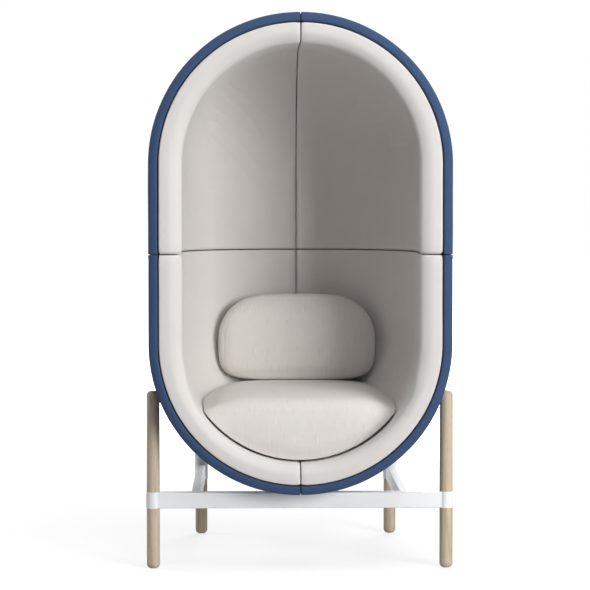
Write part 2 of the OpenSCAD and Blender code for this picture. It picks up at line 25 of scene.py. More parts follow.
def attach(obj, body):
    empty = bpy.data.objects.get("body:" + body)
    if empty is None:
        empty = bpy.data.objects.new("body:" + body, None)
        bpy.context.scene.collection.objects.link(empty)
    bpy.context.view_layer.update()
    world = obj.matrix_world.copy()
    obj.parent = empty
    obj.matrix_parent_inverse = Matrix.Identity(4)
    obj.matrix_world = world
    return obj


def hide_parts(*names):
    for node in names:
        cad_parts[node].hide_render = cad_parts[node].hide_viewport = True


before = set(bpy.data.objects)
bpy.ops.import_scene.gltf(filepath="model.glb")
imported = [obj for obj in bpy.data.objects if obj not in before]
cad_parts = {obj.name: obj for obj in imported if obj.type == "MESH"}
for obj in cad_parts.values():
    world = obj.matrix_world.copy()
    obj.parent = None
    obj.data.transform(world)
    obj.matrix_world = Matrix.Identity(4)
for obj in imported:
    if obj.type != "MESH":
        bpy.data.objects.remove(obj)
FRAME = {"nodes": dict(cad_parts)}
WEAVE = "weave"
MERGE_DISTANCE = 2e-6
SLIVER_LENGTH = 1e-6
TINY = 1e-9

Triple = tuple[float, float, float]
Pair = tuple[float, float]

log = logging.getLogger("pod_chair")


class Side(Enum):
    """Halves of the pod, by the sign of X."""

    LEFT = -1
    RIGHT = 1


class Level(Enum):
    """Halves of the pod, by height."""

    LOWER = -1
    UPPER = 1


QUARTERS = tuple(itertools.product(Side, Level))


class Body(Enum):
    """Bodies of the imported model."""

    CHAIR = "chair"
    BACK_CUSHION = "back_cushion"


class Slot(Enum):
    """Material slots of the record, passed along with the new pieces."""

    COVER = "blue_cover"
    PAD = "linen_pad"
    CUSHION = "linen_cushion"
    FRAME = "white_frame"


class PointRow(Enum):
    """What can be read from a mesh's points: their places or their outward normals."""

    PLACE = "co"
    NORMAL = "normal"


# Shader tools


class Num:
    """A value socket on which Python expressions add Math nodes."""

    def __init__(self, kit: NodeKit, socket: bpy.types.NodeSocket) -> None:
        """Wraps a socket.

        Args:
            socket: An output socket that holds one number.
        """
        self.kit = kit
        self.socket = socket

    def _math(self, operation: str, *values: float | Num) -> Num:
        """Adds a Math node on the given values, in their order."""
        return self.kit.number("ShaderNodeMath", {"operation": operation}, dict(enumerate(values)))

    def __add__(self, other: float | Num) -> Num:
        """Self plus other."""
        return self._math("ADD", self, other)

    __radd__ = __add__

    def __sub__(self, other: float | Num) -> Num:
        """Self minus other."""
        return self._math("SUBTRACT", self, other)

    def __rsub__(self, other: float | Num) -> Num:
        """Other minus self."""
        return self._math("SUBTRACT", other, self)

    def __mul__(self, other: float | Num) -> Num:
        """Self times other."""
        return self._math("MULTIPLY", self, other)

    __rmul__ = __mul__

    def __pow__(self, other: float | Num) -> Num:
        """Self to the power of other."""
        return self._math("POWER", self, other)

    def sine(self) -> Num:
        """Sine of self in radians."""
        return self._math("SINE", self)

    def most(self, other: float | Num) -> Num:
        """The larger of self and other."""
        return self._math("MAXIMUM", self, other)

    def band(self, low: float, high: float) -> Num:
        """Zero below low, one above high and a smooth rise between them."""
        inputs = {"Value": self, "From Min": low, "From Max": high}
        return self.kit.number("ShaderNodeMapRange", {"interpolation_type": "SMOOTHSTEP"}, inputs)


class NodeKit:
    """Adds nodes to a tree: their settings first, then the values and links of their sockets."""

    def __init__(self, tree: bpy.types.NodeTree) -> None:
        """Starts on an empty tree.

        Args:
            tree: The tree that the nodes go in.
        """
        self.tree = tree

    def add(self, kind: str, settings: dict | None = None, inputs: dict | None = None) -> bpy.types.Node:
        """Adds one node.

        Args:
            kind: The node's type name.
            settings: Properties by name.
            inputs: Values, sockets or Nums by socket name or number.

        Returns:
            The new node.
        """
        node = self.tree.nodes.new(kind)
        for name, value in (settings or {}).items():
            setattr(node, name, value)
        for key, value in (inputs or {}).items():
            source = value.socket if isinstance(value, Num) else value
            if isinstance(source, bpy.types.NodeSocket):
                self.tree.links.new(source, node.inputs[key])
            else:
                node.inputs[key].default_value = source
        return node

    def number(self, kind: str, settings: dict | None = None, inputs: dict | None = None,
               output: int | str = 0) -> Num:
        """Adds one node and gives one of its outputs as a number."""
        return Num(self, self.add(kind, settings, inputs).outputs[output])


class ShaderKit(NodeKit):
    """Node kit with the few patterns that the finishes share."""

    def weave(self) -> bpy.types.NodeSocket:
        """The cloth's own coordinates in metres, across and along."""
        return self.add("ShaderNodeAttribute", {"attribute_name": WEAVE}).outputs["Vector"]

    def place(self) -> bpy.types.NodeSocket:
        """The place on the piece in metres."""
        return self.add("ShaderNodeTexCoord").outputs["Object"]

    def vector(self, operation: str, coords: bpy.types.NodeSocket, by: Triple) -> bpy.types.NodeSocket:
        """Coordinates multiplied by three numbers, or with them added."""
        return self.add("ShaderNodeVectorMath", {"operation": operation}, {0: coords, 1: by}).outputs[0]

    def reach(self, coords: bpy.types.NodeSocket) -> Num:
        """Distance of a place from the origin."""
        return self.number("ShaderNodeVectorMath", {"operation": "LENGTH"}, {0: coords}, "Value")

    def noise(self, coords: bpy.types.NodeSocket, scale: float | Triple, detail: float = 2.0,
              rough: float = 0.5) -> Num:
        """Cloudy noise from 0 to 1.

        Args:
            coords: Where the noise is read.
            scale: Waves per metre, alike along every axis or one number for each.
            detail: How many finer layers are added.
            rough: How strong each finer layer is.

        Returns:
            The noise.
        """
        if isinstance(scale, tuple):
            coords, scale = self.vector("MULTIPLY", coords, scale), 1.0
        inputs = {"Vector": coords, "Scale": scale, "Detail": detail, "Roughness": rough}
        return self.number("ShaderNodeTexNoise", None, inputs)

    def axis(self, coords: bpy.types.NodeSocket, name: str) -> Num:
        """One axis of a vector."""
        return self.number("ShaderNodeSeparateXYZ", None, {0: coords}, name)

    def mix(self, share: float | Num, first: object, second: object) -> bpy.types.NodeSocket:
        """A colour between two others, of which the share is the second one's."""
        colours = {6: opaque(first), 7: opaque(second)}
        return self.add("ShaderNodeMix", {"data_type": "RGBA"}, {0: share, **colours}).outputs[2]

    def bump(self, height: Num, distance: float) -> bpy.types.NodeSocket:
        """A normal from a height that is 1 at the given distance in metres."""
        return self.add("ShaderNodeBump", None, {"Height": height, "Distance": distance}).outputs[0]


def opaque(colour: object) -> object:
    """A colour with its fourth number, or a socket as it is."""
    return (*colour, 1.0) if isinstance(colour, tuple) else colour


def tinted(colour: Triple, by: float) -> Triple:
    """A colour made lighter or darker by a factor."""
    return tuple(min(1.0, part * by) for part in colour)


def shader_kit(owner: bpy.types.Material | bpy.types.World) -> ShaderKit:
    """Empties the shader tree of a material or world.

    Args:
        owner: What the tree belongs to.
    """
    owner.use_nodes = True
    owner.node_tree.nodes.clear()
    return ShaderKit(owner.node_tree)


# Finishes


@dataclass(frozen=True)
class Finish:
    """A surface finish: its name and the shader that it fills in."""

    name: str

    def material(self) -> bpy.types.Material:
        """The finish's material, made once.

        Returns:
            The material.
        """
        found = bpy.data.materials.get(self.name)
        if found:
            return found
        made = bpy.data.materials.new(self.name)
        kit = shader_kit(made)
        shader = kit.add("ShaderNodeBsdfPrincipled", None, self.shade(kit))
        kit.add("ShaderNodeOutputMaterial", None, {"Surface": shader.outputs[0]})
        return made

    def shade(self, kit: ShaderKit) -> dict[str, object]:
        """Values and links of the main shader's sockets."""
        raise NotImplementedError


@dataclass(frozen=True)
class WovenCloth(Finish):
    """Plain woven cloth on its own coordinates, with uneven yarn and a soft nap."""

    colour: Triple
    yarn: float = 0.0011
    mottle: float = 0.06
    heather: float = 0.12
    relief: float = 0.00022
    nap: float = 0.2
    nap_rough: float = 0.55
    slub: float = 0.0
    slub_width: float = 0.0021
    slub_length: float = 0.022
    slub_band: Pair = (0.62, 0.76)
    slub_height: float = 3.0
    bare_shift: Triple = (37.0, 11.0, 5.0)
    wander: float = 0.9 * math.pi
    wander_scale: float = 140.0
    mottle_scale: float = 26.0
    fibre_scale: Triple = (900.0, 420.0, 900.0)
    fibre_height: float = 0.5
    fibre_rough: float = 0.1
    # Share of the tone given to painted shade in the weave's dips and painted light on its crowns
    painted_weave_shade: float = 0.08
    yarn_height: float = 0.7
    tints: Pair = (0.72, 1.24)
    roughness: float = 0.92
    specular: float = 0.2

    def shade(self, kit: ShaderKit) -> dict[str, object]:
        """Yarns over and under each other with painted shade in their dips, blotches, mixed fibres and
        slubs.

        Returns:
            Values and links of the main shader's sockets.
        """
        cloth = kit.weave()
        wander = kit.noise(cloth, self.wander_scale) * self.wander
        across, along = ((kit.axis(cloth, axis) * (math.pi / self.yarn) + wander).sine() for axis in "XY")
        weave = across * along * 0.5 + 0.5
        blotch = kit.noise(cloth, self.mottle_scale, detail=3.0) - 0.5
        fibre = kit.noise(cloth, self.fibre_scale) - 0.5
        streak_at = kit.vector("MULTIPLY", cloth, (0.5 / self.slub_width, 0.5 / self.slub_length, 1.0))
        bare_at = kit.vector("ADD", streak_at, self.bare_shift)
        clouds = (kit.noise(spot, 1.0, detail=1.0) for spot in (streak_at, bare_at))
        thick, bare = (cloud.band(*self.slub_band) for cloud in clouds)
        tone = blotch * (2 * self.mottle) + fibre * (2 * self.heather) + (bare - thick) * self.slub
        # The tone follows the weave's relief: painted shade where the yarns dip, painted light where they
        # rise.
        shade = (tone + 0.5 + (weave - 0.5) * self.painted_weave_shade).band(0.0, 1.0)
        slubs = thick * (self.slub_height * self.slub)
        return {
            "Base Color": kit.mix(shade, *(tinted(self.colour, by) for by in self.tints)),
            "Roughness": fibre * self.fibre_rough + self.roughness,
            "Normal": kit.bump(weave * self.yarn_height + fibre * self.fibre_height + slubs, self.relief),
            "Sheen Weight": self.nap,
            "Sheen Roughness": self.nap_rough,
            "Specular IOR Level": self.specular,
        }


@dataclass(frozen=True)
class Timber(Finish):
    """Straight grained wood whose grain runs up the piece."""

    pale: Triple
    dark: Triple
    pores: float = 0.5
    pore_scale: Triple = (1500.0, 1500.0, 60.0)
    pore_band: Pair = (0.62, 0.74)
    pore_tint: float = 0.72
    pore_depth: float = 0.8
    pore_rough: float = 0.2
    ring_turns: float = 52.0
    ring_scale: Triple = (26.0, 26.0, 1.3)
    ring_fineness: float = 0.45
    ring_power: float = 2.0
    ring_share: float = 0.42
    ring_depth: float = 0.15
    ring_rough: float = 0.06
    streak_scale: Triple = (420.0, 420.0, 9.0)
    streak_share: float = 0.5
    cloud_scale: Triple = (9.0, 9.0, 2.0)
    cloud_share: float = 0.4
    pale_share: float = 0.35
    relief: float = 0.00012
    roughness: float = 0.55
    specular: float = 0.35

    def shade(self, kit: ShaderKit) -> dict[str, object]:
        """Growth rings, fine streaks and open pores.


        Returns:
            Values and links of the main shader's sockets.
        """
        spot = kit.place()
        swirl = kit.noise(spot, self.ring_scale, rough=self.ring_fineness) * self.ring_turns
        rings = swirl.sine() * 0.5 + 0.5
        streak = kit.noise(spot, self.streak_scale, detail=3.0) * self.streak_share
        pore = kit.noise(spot, self.pore_scale, detail=1.0).band(*self.pore_band)
        cloud = kit.noise(spot, self.cloud_scale) * self.cloud_share
        depth = (rings ** self.ring_power) * self.ring_share + streak + cloud - self.pale_share
        grain = kit.mix(depth.band(0.0, 1.0), self.pale, self.dark)
        return {
            "Base Color": kit.mix(pore * self.pores, grain, tinted(self.dark, self.pore_tint)),
            "Roughness": pore * self.pore_rough + rings * self.ring_rough + self.roughness,
            "Normal": kit.bump(1.0 - pore * self.pore_depth - rings * self.ring_depth, self.relief),
            "Specular IOR Level": self.specular,
        }


@dataclass(frozen=True)
class LayeredPly(Finish):
    """Moulded birch plywood with its veneer lines."""

    pale: Triple
    veneer: float = 0.0015
    streak_scale: Triple = (60.0, 60.0, 4.0)
    streak_share: float = 0.7
    streak_rough: float = 0.2
    layer_share: float = 0.25
    tone_band: Pair = (0.1, 0.9)
    darkest: float = 0.62
    relief: float = 0.0001
    roughness: float = 0.55

    def shade(self, kit: ShaderKit) -> dict[str, object]:
        """Streaked veneer, darker in every other layer.


        Returns:
            Values and links of the main shader's sockets.
        """
        spot = kit.place()
        streak = kit.noise(spot, self.streak_scale, detail=4.0)
        layer = (kit.reach(spot) * (math.pi / self.veneer)).sine() * 0.5 + 0.5
        tone = (streak * self.streak_share + layer * self.layer_share).band(*self.tone_band)
        return {
            "Base Color": kit.mix(tone, self.pale, tinted(self.pale, self.darkest)),
            "Roughness": streak * self.streak_rough + self.roughness,
            "Normal": kit.bump(streak, self.relief),
        }


@dataclass(frozen=True)
class Coating(Finish):
    """Sprayed or moulded surface with a fine skin, such as powder coat or plastic."""

    colour: Triple
    roughness: float = 0.42
    grain: float = 900.0
    relief: float = 0.00003
    specular: float = 0.45
    peel_rough: float = 0.12
    cloud_scale: float = 12.0
    cloud_rough: float = 0.06
    cloud_band: Pair = (0.2, 0.8)
    tints: Pair = (0.975, 1.02)

    def shade(self, kit: ShaderKit) -> dict[str, object]:
        """Fine orange peel and a very faint change of tone.


        Returns:
            Values and links of the main shader's sockets.
        """
        spot = kit.place()
        peel = kit.noise(spot, self.grain)
        cloud = kit.noise(spot, self.cloud_scale, detail=3.0)
        tone = cloud.band(*self.cloud_band)
        least = self.roughness - (self.peel_rough + self.cloud_rough) / 2
        return {
            "Base Color": kit.mix(tone, *(tinted(self.colour, by) for by in self.tints)),
            "Roughness": peel * self.peel_rough + cloud * self.cloud_rough + least,
            "Normal": kit.bump(peel, self.relief),
            "Specular IOR Level": self.specular,
        }


@dataclass(frozen=True)
class PlatedSteel(Finish):
    """Zinc plated steel with fine turning marks."""

    colour: Triple
    spangle_scale: float = 260.0
    spangle_rough: float = 0.12
    scratch_scale: Triple = (3000.0, 3000.0, 240.0)
    scratch_rough: float = 0.18
    roughness: float = 0.22
    relief: float = 0.00002
    tints: Pair = (0.85, 1.12)

    def shade(self, kit: ShaderKit) -> dict[str, object]:
        """Spangle and small scratches.


        Returns:
            Values and links of the main shader's sockets.
        """
        spot = kit.place()
        spangle = kit.noise(spot, self.spangle_scale, detail=3.0)
        scratch = kit.noise(spot, self.scratch_scale)
        return {
            "Base Color": kit.mix(spangle, *(tinted(self.colour, by) for by in self.tints)),
            "Metallic": 1.0,
            "Roughness": scratch * self.scratch_rough + spangle * self.spangle_rough + self.roughness,
            "Normal": kit.bump(scratch, self.relief),
        }


WOOL = WovenCloth("blue_wool", (0.038, 0.070, 0.150), yarn=0.0012, heather=0.2, mottle=0.08, nap=0.06)
PAD_CLOTH = WovenCloth("pad_cloth", (0.645, 0.617, 0.595), yarn=0.0008, heather=0.05, mottle=0.02, slub=0.02)
LINEN = WovenCloth("slub_linen", (0.66, 0.629, 0.604), yarn=0.0009, heather=0.05, mottle=0.02, slub=0.13,
                   relief=0.0003)
THREAD = WovenCloth("seam_thread", (0.66, 0.64, 0.61), yarn=0.0004, heather=0.05, nap=0.05)
ASH = Timber("soaped_ash", (0.52, 0.432, 0.322), (0.372, 0.29, 0.198))
BEECH = Timber("beech_dowel", (0.66, 0.5, 0.34), (0.5, 0.35, 0.21), pores=0.2)
BIRCH = LayeredPly("birch_ply", (0.66, 0.52, 0.34))
POWDER = Coating("white_powder_coat", (0.80, 0.805, 0.812))
PLASTIC = Coating("white_plastic", (0.80, 0.80, 0.80), roughness=0.3, grain=400.0, relief=0.00001)
RUBBER = Coating("black_rubber", (0.018, 0.018, 0.02), roughness=0.75, grain=700.0, relief=0.00006,
                 specular=0.25)
ZINC = PlatedSteel("zinc_steel", (0.60, 0.61, 0.63))


# Mesh tools


def add_object(name: str, data: bpy.types.ID) -> bpy.types.Object:
    """Puts a mesh, curve, lamp or camera in the scene as an object at the origin.

    Args:
        name: The object's name.
        data: What the object shows.

    Returns:
        The new object.
    """
    made = bpy.data.objects.new(name, data)
    bpy.context.scene.collection.objects.link(made)
    return made


def closed_mesh(name: str, points: np.ndarray, faces: Iterable[Sequence[int]],
                weave: np.ndarray | None = None) -> bpy.types.Mesh:
    """Makes a smooth, closed mesh with outward faces.

    Args:
        name: The mesh's name.
        points: One row of x, y and z for each point, in metres.
        faces: Point numbers of each face.
        weave: One row of cloth coordinates for each point, or None.

    Returns:
        The mesh, with its doubles merged.
    """
    mesh = bpy.data.meshes.new(name)
    mesh.from_pydata(points.tolist(), [], list(faces))
    if weave is not None:
        write_weave(mesh, weave)
    shape = bmesh.new()
    shape.from_mesh(mesh)
    bmesh.ops.remove_doubles(shape, verts=shape.verts, dist=MERGE_DISTANCE)
    bmesh.ops.dissolve_degenerate(shape, edges=shape.edges, dist=SLIVER_LENGTH)
    bmesh.ops.recalc_face_normals(shape, faces=shape.faces)
    shape.to_mesh(mesh)
    shape.free()
    mesh.polygons.foreach_set("use_smooth", [True] * len(mesh.polygons))
    return mesh


def write_weave(mesh: bpy.types.Mesh, weave: np.ndarray) -> None:
    """Stores the cloth coordinates of a mesh's points.

    Args:
        mesh: The mesh.
        weave: One row of cloth coordinates, across and along, for each point.
    """
    rows = np.zeros((len(weave), 3), np.float32)
    rows[:, :2] = weave
    store = mesh.attributes.get(WEAVE) or mesh.attributes.new(WEAVE, "FLOAT_VECTOR", "POINT")
    store.data.foreach_set("vector", rows.ravel())


def read_rows(mesh: bpy.types.Mesh, what: PointRow) -> np.ndarray:
    """Reads the places or normals of a mesh's points.

    Args:
        mesh: The mesh.
        what: What is read.

    Returns:
        One row of x, y and z for each point.
    """
    flat = np.empty(3 * len(mesh.vertices))
    mesh.vertices.foreach_get(what.value, flat)
    return flat.reshape(-1, 3)


def move_points(mesh: bpy.types.Mesh, points: np.ndarray) -> None:
    """Sets the places of a mesh's points."""
    mesh.vertices.foreach_set("co", points.ravel())
    mesh.update()


def on_surface(mesh: bpy.types.Mesh, points: np.ndarray) -> np.ndarray:
    """The places on a mesh's surface that are nearest to some points."""
    tree = BVHTree.FromPolygons([v.co for v in mesh.vertices], [p.vertices for p in mesh.polygons])
    return np.array([tree.find_nearest(Vector(row))[0] for row in points])


def evaluated_mesh(piece: bpy.types.Object) -> bpy.types.Mesh:
    """Makes a new mesh of a piece with its modifiers applied.

    Args:
        piece: The piece, which keeps its modifiers.

    Returns:
        The new mesh.
    """
    graph = bpy.context.evaluated_depsgraph_get()
    shown = piece.evaluated_get(graph)
    return bpy.data.meshes.new_from_object(shown, preserve_all_data_layers=True, depsgraph=graph)


def apply_modifiers(piece: bpy.types.Object) -> None:
    """Turns a piece's modifiers into its own mesh.

    Args:
        piece: The piece.
    """
    mesh = evaluated_mesh(piece)
    piece.modifiers.clear()
    piece.data = mesh


def dress(piece: bpy.types.Object, finish: Finish) -> None:
    """Gives the whole piece one finish."""
    piece.data.materials.clear()
    piece.data.materials.append(finish.material())


def dress_nodes(finish: Finish, *nodes: str) -> None:
    """Gives CAD nodes' own objects a finish.

    Args:
        finish: The finish.
        nodes: Names of the nodes.
    """
    for node in nodes:
        for place in FRAME["nodes"][node].material_slots:
            place.material = finish.material()
        log.info("%s: %s", node, finish.name)


def settle(piece: bpy.types.Object, body: Body, slot: Slot, *nodes: str, fill: float | None = None) -> None:
    """Attaches a finished piece to its body, hides the CAD nodes that it stands for, and reports it.

    Args:
        piece: The finished piece.
        body: The body that it moves with.
        slot: Not used.
        nodes: CAD nodes that it stands for.
        fill: Not used.
    """
    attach(piece, body.value)
    if nodes:
        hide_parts(*nodes)
    log.info("%s: %d faces", piece.name, len(piece.data.polygons))


def smooth_step(share: float | np.ndarray) -> np.ndarray:
    """Zero below zero, one above one and a smooth rise between them."""
    held = np.clip(share, 0.0, 1.0)
    return held * held * (3 - 2 * held)


def rounding(distance: np.ndarray, radius: float) -> np.ndarray:
    """How far a rounded edge draws in a surface at a distance from the edge."""
    share = 1 - np.clip(distance / radius, 0, 1)
    return radius * (1 - np.sqrt(1 - share**2))


def arc(centre: Pair, radius: float, start: float, end: float, steps: int) -> list[Pair]:
    """Points on an arc between two angles in degrees."""
    angles = np.radians(np.linspace(start, end, steps + 1))
    return [(centre[0] + radius * math.cos(a), centre[1] + radius * math.sin(a)) for a in angles]


def run_along(line: np.ndarray) -> np.ndarray:
    """Length of a line of points up to each of them."""
    return np.concatenate([[0.0], np.cumsum(np.linalg.norm(np.diff(line, axis=0), axis=1))])


def noise_at(points: np.ndarray, scale: Triple, seed: float) -> np.ndarray:
    """Smooth noise from about -1 to 1 at each point."""
    where = points * np.array(scale) + seed
    return np.array([noise.noise(Vector(row)) for row in where])


# The pod


@dataclass(frozen=True)
class PodForm:
    """Sizes of the pod and the curves that they give, as in the part's source."""

    width: float = 0.820
    straight: float = 0.480
    depth: float = 0.700
    lift: float = 0.212
    draft: float = math.radians(4)
    power: float = 2.25
    outer_start: float = 0.240
    inner_start: float = 0.262
    seam: float = 0.0025
    cover: float = 0.006
    core: float = 0.013
    layer_gap: float = 0.0003
    rim_gap: float = 0.003
    return_depth: float = 0.022
    rim_pad: float = 0.011
    pad: float = 0.053
    back_pad: float = 0.060
    rim_y: float = -0.36435
    back_steps: int = 54
    wall_steps: int = 34
    offset_steps: int = 240

    @property
    def seam_h(self) -> float:
        """Height of the level seam."""
        return self.lift + self.width / 2 + self.straight / 2

    @property
    def end_h(self) -> float:
        """Height of the middle of the lower round end."""
        return self.lift + self.width / 2 - self.seam / 2

    @property
    def shell_r(self) -> float:
        """Outer radius of a quarter at the rim."""
        return self.width / 2 - self.seam / 2

    @property
    def pad_out(self) -> float:
        """Depth of the pads' outer side below the outside of the pod."""
        return self.cover + self.core + 2 * self.layer_gap

    @property
    def lip(self) -> float:
        """Width of the covered rim."""
        return self.pad_out + self.cover

    @property
    def hollow_r(self) -> float:
        """Radius of the hollow between the pads."""
        return self.wall_r(self.lip, 0.0) - self.rim_gap - self.pad

    @property
    def hollow_d(self) -> float:
        """Depth of the hollow."""
        return self.depth - self.pad_out - self.back_pad

    def wall_r(self, layer: float, depth: float) -> float:
        """Radius of a layer of the tapered wall at a depth."""
        return self.shell_r - layer / math.cos(self.draft) - depth * math.tan(self.draft)

    def back_share(self, depth: np.ndarray, start: float, deepest: float) -> np.ndarray:
        """Share of the full radius that is left at each depth."""
        run = np.clip((np.asarray(depth, float) - start) / (deepest - start), 0, 1)
        return (1 - run**self.power) ** (1 / self.power)

    def back_depths(self, start: float, deepest: float, steps: int) -> np.ndarray:
        """Depths spread evenly along the rounded back."""
        angles = np.linspace(0, math.pi / 2, steps + 1)
        return start + (deepest - start) * np.sin(angles) ** (2 / self.power)

    def hollow_radius(self, depth: float) -> float:
        """Radius of the hollow at a depth."""
        return float(self.hollow_r * self.back_share(np.array(depth), self.inner_start, self.hollow_d))

    def outer_line(self, layer: float, start: float, steps: int, wall_steps: int) -> np.ndarray:
        """Points of a layer below the outside, from a depth near the rim to the pole.

        Args:
            layer: Depth of the layer below the outside.
            start: Depth behind the rim at which the line starts.
            steps: Steps along the rounded back.
            wall_steps: Steps along the straight wall.

        Returns:
            Rows of radius and depth.
        """
        depths = self.back_depths(self.outer_start, self.depth, self.offset_steps)
        radii = np.array([self.wall_r(0.0, d) for d in depths])
        curve = np.column_stack([radii * self.back_share(depths, self.outer_start, self.depth), depths])
        curve[-1] = (0.0, self.depth)
        ahead = np.gradient(curve, axis=0)
        ahead[-1] = (-1.0, 0.0)
        ahead /= np.linalg.norm(ahead, axis=1)[:, None]
        inner = curve + layer * np.column_stack([-ahead[:, 1], ahead[:, 0]])
        inner[-1, 0] = 0.0
        picked = inner[np.linspace(0, len(inner) - 1, steps + 1).astype(int)]
        walls = np.linspace(start, inner[0, 1], wall_steps + 1)[:-1]
        straight = np.column_stack([[self.wall_r(layer, d) for d in walls], walls])
        return np.vstack([straight, picked])

    def hollow_line(self, start: float) -> np.ndarray:
        """Points of the hollow's wall, from a depth near the rim to its pole.

        Args:
            start: Depth behind the rim at which the line starts.

        Returns:
            Rows of radius and depth.
        """
        walls = np.linspace(start, self.inner_start, self.wall_steps + 1)[:-1]
        depths = self.back_depths(self.inner_start, self.hollow_d, self.back_steps)
        radii = self.hollow_r * self.back_share(depths, self.inner_start, self.hollow_d)
        backs = np.column_stack([radii, depths])
        backs[-1] = (0.0, self.hollow_d)
        return np.vstack([np.column_stack([np.full(len(walls), self.hollow_r), walls]), backs])


POD = PodForm()


@dataclass
class Section:
    """Closed outline of a quarter's wall, as radius and depth, whose first points show.

    The shown field holds one for each point that shows and zero for each hidden one.
    """

    points: np.ndarray
    shown: np.ndarray

    @classmethod
    def of(cls, seen: Iterable[Sequence[float]], hidden: Iterable[Sequence[float]]) -> Section:
        """A section of the points that show and the hidden ones that close the outline."""
        front, back = [tuple(p) for p in seen], [tuple(p) for p in hidden]
        return cls(np.array(front + back), np.array([1.0] * len(front) + [0.0] * len(back)))

    def inward(self) -> np.ndarray:
        """Unit directions into the wall.

        Returns:
            One row of radius and depth for each point.
        """
        before, after = np.roll(self.points, 1, axis=0), np.roll(self.points, -1, axis=0)
        ahead = after - before
        area = np.sum(self.points[:, 0] * after[:, 1] - after[:, 0] * self.points[:, 1])
        normal = np.column_stack([-ahead[:, 1], ahead[:, 0]]) * math.copysign(1.0, area)
        normal[self.points[:, 0] < TINY, 0] = 0.0
        return normal / np.maximum(np.linalg.norm(normal, axis=1), TINY)[:, None]


@dataclass
class QuarterShell:
    """Mesh of one quarter: a section along the straight wall and round a quarter of the end."""

    section: Section
    seam_radius: float
    level_radius: float
    relief: Callable[[np.ndarray], np.ndarray]
    swell: Callable[[np.ndarray, Level, float], np.ndarray] | None = None
    straight_steps: int = 54
    arc_steps: int = 92
    seam_steps: int = 10
    seam_power: float = 2.2
    seam_close: float = 0.001248
    seam_open: float = 0.000998
    seam_reach: float = 0.02
    seam_sink: float = 0.0
    corner_power: int = 3
    pole_share: float = 0.5

    def build(self, name: str, side: Side, level: Level) -> bpy.types.Object:
        """Makes the quarter as a closed mesh object.

        Args:
            name: The object's name.
            side: Left or right half.
            level: Upper or lower half, of which the upper one may have a rounder level edge.

        Returns:
            The new object, without a finish.
        """
        local, radial, weave = self._stations(level)
        stations, count = local.shape[:2]
        inward = self.section.inward()
        upright = self._drawn(local[..., 0], self.seam_radius)
        flat = self._drawn(local[..., 2], self.level_radius if level is Level.UPPER else self.seam_radius)
        draw = (upright**self.corner_power + flat**self.corner_power) ** (1 / self.corner_power)
        step = np.stack([inward[:, 0] * radial[..., 0], np.broadcast_to(inward[:, 1], (stations, count)),
                         inward[:, 0] * radial[..., 1]], axis=-1)
        placed = local + step * (draw * self.section.shown)[..., None]
        for axis in (0, 2):
            near = np.clip(1 - local[..., axis] / self.seam_reach, 0, 1)
            placed[..., axis] -= (self.seam_close - self.seam_open * self.section.shown) * near
        world = self._placed(placed, side, level)
        lift = self.relief(world.reshape(-1, 3)).reshape(stations, count)
        far = np.clip(np.minimum(local[..., 0], local[..., 2]) / self.seam_reach, 0, 1)
        world += self._turned(-step, side, level) * (lift * self.section.shown * far)[..., None]
        mesh = closed_mesh(name, world.reshape(-1, 3), self._faces(stations, count), weave.reshape(-1, 2))
        return add_object(name, mesh)

    def _drawn(self, distance: np.ndarray, radius: float) -> np.ndarray:
        """How far the surface lies back near a seam: a tight radius and a wide, shallow sink."""
        near = np.clip(1 - distance / self.seam_reach, 0, 1)
        return rounding(distance, radius) + self.seam_sink * near**2

    def _swollen(self, level: Level, turn: float) -> np.ndarray:
        """The section's points after the swell towards the hollow.

        Args:
            level: Upper or lower half.
            turn: How far round the quarter's end the section is, in radians.

        Returns:
            Rows of radius and depth.
        """
        points = self.section.points
        if self.swell is None:
            return points
        return points - np.column_stack([self.swell(points, level, turn), np.zeros(len(points))])

    def _stations(self, level: Level) -> tuple[np.ndarray, np.ndarray, np.ndarray]:
        """Lays the section out along the straight wall and round the end.

        Args:
            level: Upper or lower half.

        Returns:
            Places, radial directions and cloth coordinates of the section's points at every station.
        """
        points = self._swollen(level, 0.0)
        half = POD.straight / 2
        seam = self.seam_reach * (np.arange(self.seam_steps + 1) / self.seam_steps) ** self.seam_power
        rows = np.concatenate([seam, np.linspace(seam[-1], half, self.straight_steps + 1)[1:]])
        run = run_along(points)
        local, radial, weave = [], [], []
        for z in rows:
            local.append(np.column_stack([points[:, 0], points[:, 1], np.full(len(points), z)]))
            radial.append(np.tile([1.0, 0.0], (len(points), 1)))
            weave.append(np.column_stack([run, np.full(len(points), z)]))
        for turn, angles in zip(self._turns(), self._angles(points[:, 0], seam)):
            points = self._swollen(level, turn)
            x, z = points[:, 0] * np.cos(angles), points[:, 0] * np.sin(angles)
            local.append(np.column_stack([x, points[:, 1], half + z]))
            radial.append(np.column_stack([np.cos(angles), np.sin(angles)]))
            weave.append(np.column_stack([run, half + points[:, 0] * angles]))
        return np.array(local), np.array(radial), np.array(weave)

    def _angles(self, radii: np.ndarray, seam: np.ndarray) -> Iterable[np.ndarray]:
        """Angles of the stations round the end, of which the last ones keep level with the seam.

        Args:
            radii: Radius of each of the section's points.
            seam: Distances of the stations beside a seam, from the seam outwards.

        Yields:
            One angle in radians for each point of the section.
        """
        safe = np.maximum(radii, TINY)
        last = np.arccos(np.clip(seam[-1] / safe, 0, self.pole_share))
        for i in range(1, self.arc_steps + 1):
            yield last * i / self.arc_steps
        for distance in seam[-2::-1]:
            share = distance / seam[-1]
            yield np.arccos(np.clip(np.minimum(distance / safe, self.pole_share * share), 0, 1))

    def _turns(self) -> list[float]:
        """How far round the quarter each station of the end is, in radians."""
        turns = [math.pi / 2 * i / self.arc_steps for i in range(1, self.arc_steps + 1)]
        return turns + [math.pi / 2] * self.seam_steps

    @staticmethod
    def _turned(steps: np.ndarray, side: Side, level: Level) -> np.ndarray:
        """Directions of the drawn quarter as directions of the real one."""
        return steps * np.array([side.value, 1.0, level.value])

